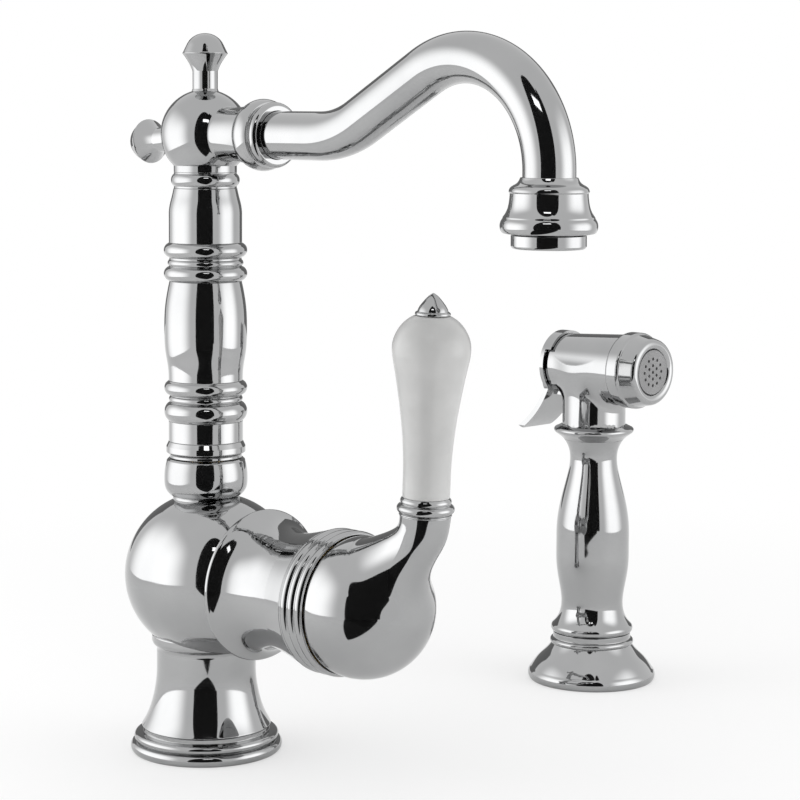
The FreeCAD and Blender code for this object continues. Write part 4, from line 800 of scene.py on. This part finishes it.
def spray_head():
    """Barrel and neck of the spray head melted into one another.
    From the middle of the barrel, each ray is followed out to where the blended distance to the tapered
    barrel and the upright neck is nothing; the rays crowd at the rims of the barrel's flat ends."""
    back, front = 17.0, HEAD_FRONT
    back_r, front_r, neck_r, neck_l = 13.4, 15.4, 14.0, 26.1
    blend, blend_fade = 5.0, 4.0
    nearest, farthest = 5.0, 45.0
    back_rim, front_rim = math.atan2(back_r, back), math.pi - math.atan2(front_r, front)
    rim_band = 0.02
    over_rim = np.linspace(-0.8, 0.8, 9) * rim_band
    rows = np.concatenate([np.linspace(0, back_rim - rim_band, 14), back_rim + over_rim,
                           np.linspace(back_rim + rim_band, front_rim - rim_band, 90),
                           front_rim + over_rim, np.linspace(front_rim + rim_band, math.pi, 14)])
    polar = rows[:, None]
    around = np.linspace(0, math.tau, 192, endpoint=False)[None, :]
    ray = np.stack([np.sin(polar) * np.sin(around), np.cos(polar) + 0 * around,
                    -np.sin(polar) * np.cos(around)], -1)

    def distance(point):
        """Distance to barrel or neck, the smaller one, less a swelling where the two are nearly equal.
        The swelling fades out toward the barrel's flat ends."""
        x, y, z = point[..., 0], point[..., 1], point[..., 2]
        taper = (front_r + back_r) / 2 + (back_r - front_r) * (y - (back - front) / 2) / (back + front)
        barrel = np.maximum(np.hypot(x, z) - taper, np.maximum(y - back, -front - y))
        neck = np.maximum(np.hypot(x, y) - neck_r, np.maximum(-neck_l - z, z))
        near = np.clip(blend - np.abs(barrel - neck), 0, None) / blend
        deep = np.clip((back - np.abs(y + (front - back) / 2)) / blend_fade, 0, 1)
        return np.minimum(barrel, neck) - deep * near ** 2 * blend / 4

    low, high = np.full(ray.shape[:2], nearest), np.full(ray.shape[:2], farthest)
    for _ in range(40):
        middle = (low + high) / 2
        out = distance(ray * middle[..., None]) > 0
        low, high = np.where(out, low, middle), np.where(out, middle, high)
    grid = ray * low[..., None] + np.array([SPRAY_X, SPRAY_Y, HEAD_Z])
    grid[0], grid[-1] = grid[0].mean(0), grid[-1].mean(0)
    piece("spray_head_blended", [shell(grid, False)], CHROME, "spray", "spray_head")


def spray_bezel():
    """Screwed bezel round the spray face: a straight band, a taper and a rounded lip."""
    low, band_end, end = HEAD_FRONT, 26.2, 33.8
    inner, mouth, shelf, band = 13.1, 9.8, 31.1, 16.7
    lathe("spray_bezel", CHROME, "spray", HEAD_AXIS,
          (inner, low), (15.4, low), ("arc", (16.3, low + 0.7), (band, low + 2.0)), (band, band_end - 1.4),
          ("arc", (16.4, band_end - 0.5), (15.8, band_end)), (14.5, end - 1.8),
          ("arc", (12.5, end), (10.0, end - 1.2)), (mouth, end - 1.5), (mouth, shelf), (inner, shelf))


# Studio

# Ways over the floor, to the camera and to its right, and places on it, in metres
FRONT = np.array([-0.713, -0.701])
RIGHT = np.array([0.701, -0.713])
SET_CENTRE = np.array([0.06, -0.07])
TAP_GROUND = np.array([0.0, -0.03])
SPRAY_GROUND = np.array([SPRAY_X, SPRAY_Y]) * MM
DRAPE_GROUND = np.array([-0.385, -0.40])
FAR_DRAPE_GROUND = np.array([-0.391, -0.844])

# Levels of the room: as it is seen, and as it lights the tap
ROOM_WHITE = 1.0
ROOM_FILL = 0.86


def sheet(name, grid, material):
    """Open sheet through a grid of points; its UV runs from 0 to 1 along the rows and up the columns."""
    rows, columns = grid.shape[:2]
    faces = grid_faces(rows, columns, False, False)
    along, up = np.meshgrid(np.linspace(0, 1, columns), np.linspace(0, 1, rows))
    mesh = bpy.data.meshes.new(name)
    mesh.from_pydata(grid.reshape(-1, 3).tolist(), [], faces.tolist())
    layer = mesh.uv_layers.new(name="UVMap")
    layer.data.foreach_set("uv", np.stack([along, up], -1).reshape(-1, 2)[faces].ravel())
    mesh.materials.append(material)
    made = bpy.data.objects.new(name, mesh)
    bpy.context.scene.collection.objects.link(made)
    return made


def bare_material(name):
    """New material with nothing in it, with its nodes and links."""
    material = bpy.data.materials.new(name)
    material.use_nodes = True
    nodes, links = material.node_tree.nodes, material.node_tree.links
    nodes.clear()
    return material, nodes, links


def glowing(nodes, level):
    """White light of the level."""
    glow = nodes.new("ShaderNodeEmission")
    glow.inputs["Strength"].default_value = level
    return glow.outputs[0]


def blended(nodes, links, share, first, second):
    """The first shader, with the second in its place by the share."""
    mix = nodes.new("ShaderNodeMixShader")
    links.new(share, mix.inputs["Fac"])
    links.new(first, mix.inputs[1])
    links.new(second, mix.inputs[2])
    return mix.outputs[0]


def show(nodes, links, shader):
    """The shader becomes the look of the surface."""
    out = nodes.new("ShaderNodeOutputMaterial")
    links.new(shader, out.inputs["Surface"])


def reckon(nodes, links, operation, first, second):
    """Two values put together by the operation."""
    result = nodes.new("ShaderNodeMath")
    result.operation = operation
    links.new(first, result.inputs[0])
    links.new(second, result.inputs[1])
    return result.outputs[0]


def largest(nodes, links, values):
    """The largest of the values."""
    value = values[0]
    for other in values[1:]:
        value = reckon(nodes, links, "MAXIMUM", value, other)
    return value


def ray_kinds(nodes):
    """Three values: one for a ray from the camera, from gloss and from glass, and nothing for other rays."""
    path = nodes.new("ShaderNodeLightPath")
    return path.outputs["Is Camera Ray"], path.outputs["Is Glossy Ray"], path.outputs["Is Transmission Ray"]


def room():
    """White room that the camera and the metal see, at a lower level for the light that it gives."""
    world = bpy.data.worlds.new("studio_room")
    bpy.context.scene.world = world
    world.use_nodes = True
    nodes, links = world.node_tree.nodes, world.node_tree.links
    background = nodes["Background"]
    background.inputs["Color"].default_value = (1, 1, 1, 1)
    level = nodes.new("ShaderNodeMapRange")
    level.inputs["To Min"].default_value = ROOM_FILL
    level.inputs["To Max"].default_value = ROOM_WHITE
    links.new(largest(nodes, links, ray_kinds(nodes)), level.inputs["Value"])
    links.new(level.outputs["Result"], background.inputs["Strength"])


def floor():
    """Pale table that melts into the white of the room a little way off, and looks whiter to the camera."""
    material, nodes, links = bare_material("pale_table")
    cloth = nodes.new("ShaderNodeBsdfDiffuse")
    cloth.inputs["Color"].default_value = (0.95, 0.95, 0.95, 1)
    place = nodes.new("ShaderNodeTexCoord")
    away = nodes.new("ShaderNodeVectorMath")
    away.operation = "DISTANCE"
    away.inputs[1].default_value = (0.08, -0.06, 0)
    links.new(place.outputs["Object"], away.inputs[0])

    def white_share(ray, nearest):
        """Share of white for one kind of ray, from the nearest share beside the tap to all of it far off."""
        far = nodes.new("ShaderNodeMapRange")
        far.interpolation_type = "SMOOTHSTEP"
        far.inputs["From Min"].default_value = 0.12
        far.inputs["From Max"].default_value = 0.6
        far.inputs["To Min"].default_value = nearest
        links.new(away.outputs["Value"], far.inputs["Value"])
        return reckon(nodes, links, "MULTIPLY", far.outputs["Result"], ray)

    camera_ray, gloss_ray, glass_ray = ray_kinds(nodes)
    shares = [white_share(camera_ray, nearest=0.45), white_share(gloss_ray, nearest=0.0),
              white_share(glass_ray, nearest=0.0)]
    white = largest(nodes, links, shares)
    show(nodes, links, blended(nodes, links, white, cloth.outputs[0], glowing(nodes, ROOM_WHITE)))
    size = 6.0
    near_edge, far_edge = [(-size, -size, 0), (size, -size, 0)], [(-size, size, 0), (size, size, 0)]
    sheet("floor", np.array([near_edge, far_edge]), material)


def softbox_light(level):
    """Lit cloth of a softbox: full at its lower middle, fading to nothing at the sides and the top."""
    material, nodes, links = bare_material("softbox_cloth")
    place = nodes.new("ShaderNodeTexCoord")
    split = nodes.new("ShaderNodeSeparateXYZ")
    links.new(place.outputs["UV"], split.inputs[0])

    def fade(axis, start, end):
        """Value that grows from nothing at the start to one at the end."""
        reach = nodes.new("ShaderNodeMapRange")
        reach.interpolation_type = "SMOOTHERSTEP"
        reach.inputs["From Min"].default_value = start
        reach.inputs["From Max"].default_value = end
        links.new(split.outputs[axis], reach.inputs["Value"])
        return reach.outputs["Result"]

    sides = reckon(nodes, links, "MULTIPLY", fade("X", 0.0, 0.45), fade("X", 1.0, 0.55))
    lit = reckon(nodes, links, "MULTIPLY", sides, fade("Y", 1.0, 0.25))
    clear = nodes.new("ShaderNodeBsdfTransparent")
    show(nodes, links, blended(nodes, links, lit, clear.outputs[0], glowing(nodes, level)))
    return material


def plain_light(name, level):
    """Surface that glows evenly."""
    material, nodes, links = bare_material(name)
    show(nodes, links, glowing(nodes, level))
    return material


def black_cloth():
    """Dull black cloth."""
    material = bpy.data.materials.new("black_cloth")
    material.use_nodes = True
    shader = material.node_tree.nodes["Principled BSDF"]
    shader.inputs["Base Color"].default_value = (0.012, 0.012, 0.012, 1)
    shader.inputs["Roughness"].default_value = 0.9
    shader.inputs["Specular IOR Level"].default_value = 0.1
    return material


def standing_card(name, material, azimuth, distance, width, low, high):
    """Upright card round the tap, facing it; azimuth is from the camera's side, to the right."""
    a = math.radians(azimuth)
    toward = math.cos(a) * FRONT + math.sin(a) * RIGHT
    along = np.array([-toward[1], toward[0]])
    middle = SET_CENTRE + distance * toward
    left, right = middle - along * width / 2, middle + along * width / 2
    return sheet(name, np.array([[(*left, low), (*right, low)], [(*left, high), (*right, high)]]), material)


def hanging(ground, width, top, material):
    """Black cloth that hangs near the camera, its half-width following an ellipse up its height."""
    widest, least = 0.2, 1e-5
    side = np.linspace(-1, 1, 9)[None, :, None]
    z = np.linspace(0, top, 48)[:, None, None]
    half = width * np.sqrt(np.clip(1 - ((z - widest) / (top - widest)) ** 2, least, 1))
    points = ground + half * side * RIGHT
    return sheet("black_hanging", np.concatenate([points, z + 0 * half * side], -1), material)


def tongue(stand, tip, half_end, power, material):
    """Black cloth along the floor toward a stand, its half-width a power of the way from the tip."""
    above_floor = 0.001
    side = np.linspace(-1, 1, 9)[None, :, None]
    share = np.linspace(0.002, 1, 60)[:, None, None]
    reach = np.linalg.norm(DRAPE_GROUND - stand)
    toward = (DRAPE_GROUND - stand) / reach
    line = stand + toward * (tip + (reach - tip) * share)
    points = line + half_end * share ** power * side * np.array([-toward[1], toward[0]])
    return sheet("black_tongue", np.concatenate([points, above_floor + 0 * points[..., :1]], -1), material)


def studio():
    """Two softboxes at the sides, black cloth round the camera that the metal shows as a dark core with the
    lamp over the camera in it, and a grey wall far behind that draws the edges of the metal."""
    lit, black = softbox_light(level=2.5), black_cloth()
    lamp, grey = plain_light("lamp_glass", level=3.0), plain_light("wall_grey", level=0.22)
    softboxes = [
        standing_card("softbox_left", lit, azimuth=-86, distance=0.60, width=1.30, low=0.0, high=0.80),
        standing_card("softbox_right", lit, azimuth=75, distance=0.62, width=1.00, low=0.0, high=0.80),
    ]
    seen_in_metal = [
        hanging(DRAPE_GROUND, width=0.25, top=1.15, material=black),
        hanging(FAR_DRAPE_GROUND, width=0.13, top=1.5, material=black),
        tongue(TAP_GROUND, tip=0.13, half_end=0.242, power=0.85, material=black),
        tongue(SPRAY_GROUND, tip=0.36, half_end=0.16, power=1.2, material=black),
        standing_card("camera_lamp", lamp, azimuth=-3, distance=0.52, width=0.16, low=0.56, high=0.66),
        standing_card("grey_wall", grey, azimuth=180, distance=1.6, width=2.4, low=0.0, high=1.1),
    ]
    for card in softboxes + seen_in_metal:
        card.visible_camera = False
    for card in seen_in_metal:
        card.visible_diffuse = False
        card.visible_shadow = False


def camera():
    """Long lens in front of the tap, a little above it, with the picture shifted down onto the tap."""
    data = bpy.data.cameras.new("camera")
    data.sensor_width = 36.0
    data.lens = 103.5
    data.shift_y = -0.14625
    data.clip_end = 50.0
    eye = bpy.data.objects.new("camera", data)
    bpy.context.scene.collection.objects.link(eye)
    right = np.array([0.701141, -0.713009, 0.004350])
    up = np.array([0.051661, 0.056885, 0.997044])
    ahead = np.array([0.711148, 0.698843, -0.076719])
    matrix = np.eye(4)
    matrix[:3, 0], matrix[:3, 1], matrix[:3, 2] = right, up, -ahead
    matrix[:3, 3] = (-0.58845, -0.68523, 0.25511)
    eye.matrix_world = matrix.T.tolist()
    bpy.context.scene.camera = eye


def main():
    """Finishes, pieces, studio and camera in turn, then the plain view transform."""
    finish_solids()
    base_foot()
    valve_body()
    swivel_collar()
    column()
    crown()
    finials()
    spout_tube()
    spout_fittings()
    trim_ring()
    lever_hub()
    lever_handle()
    spray_stand()
    spray_head()
    spray_bezel()
    room()
    floor()
    studio()
    camera()
    bpy.context.scene.view_settings.view_transform = "Standard"


main()
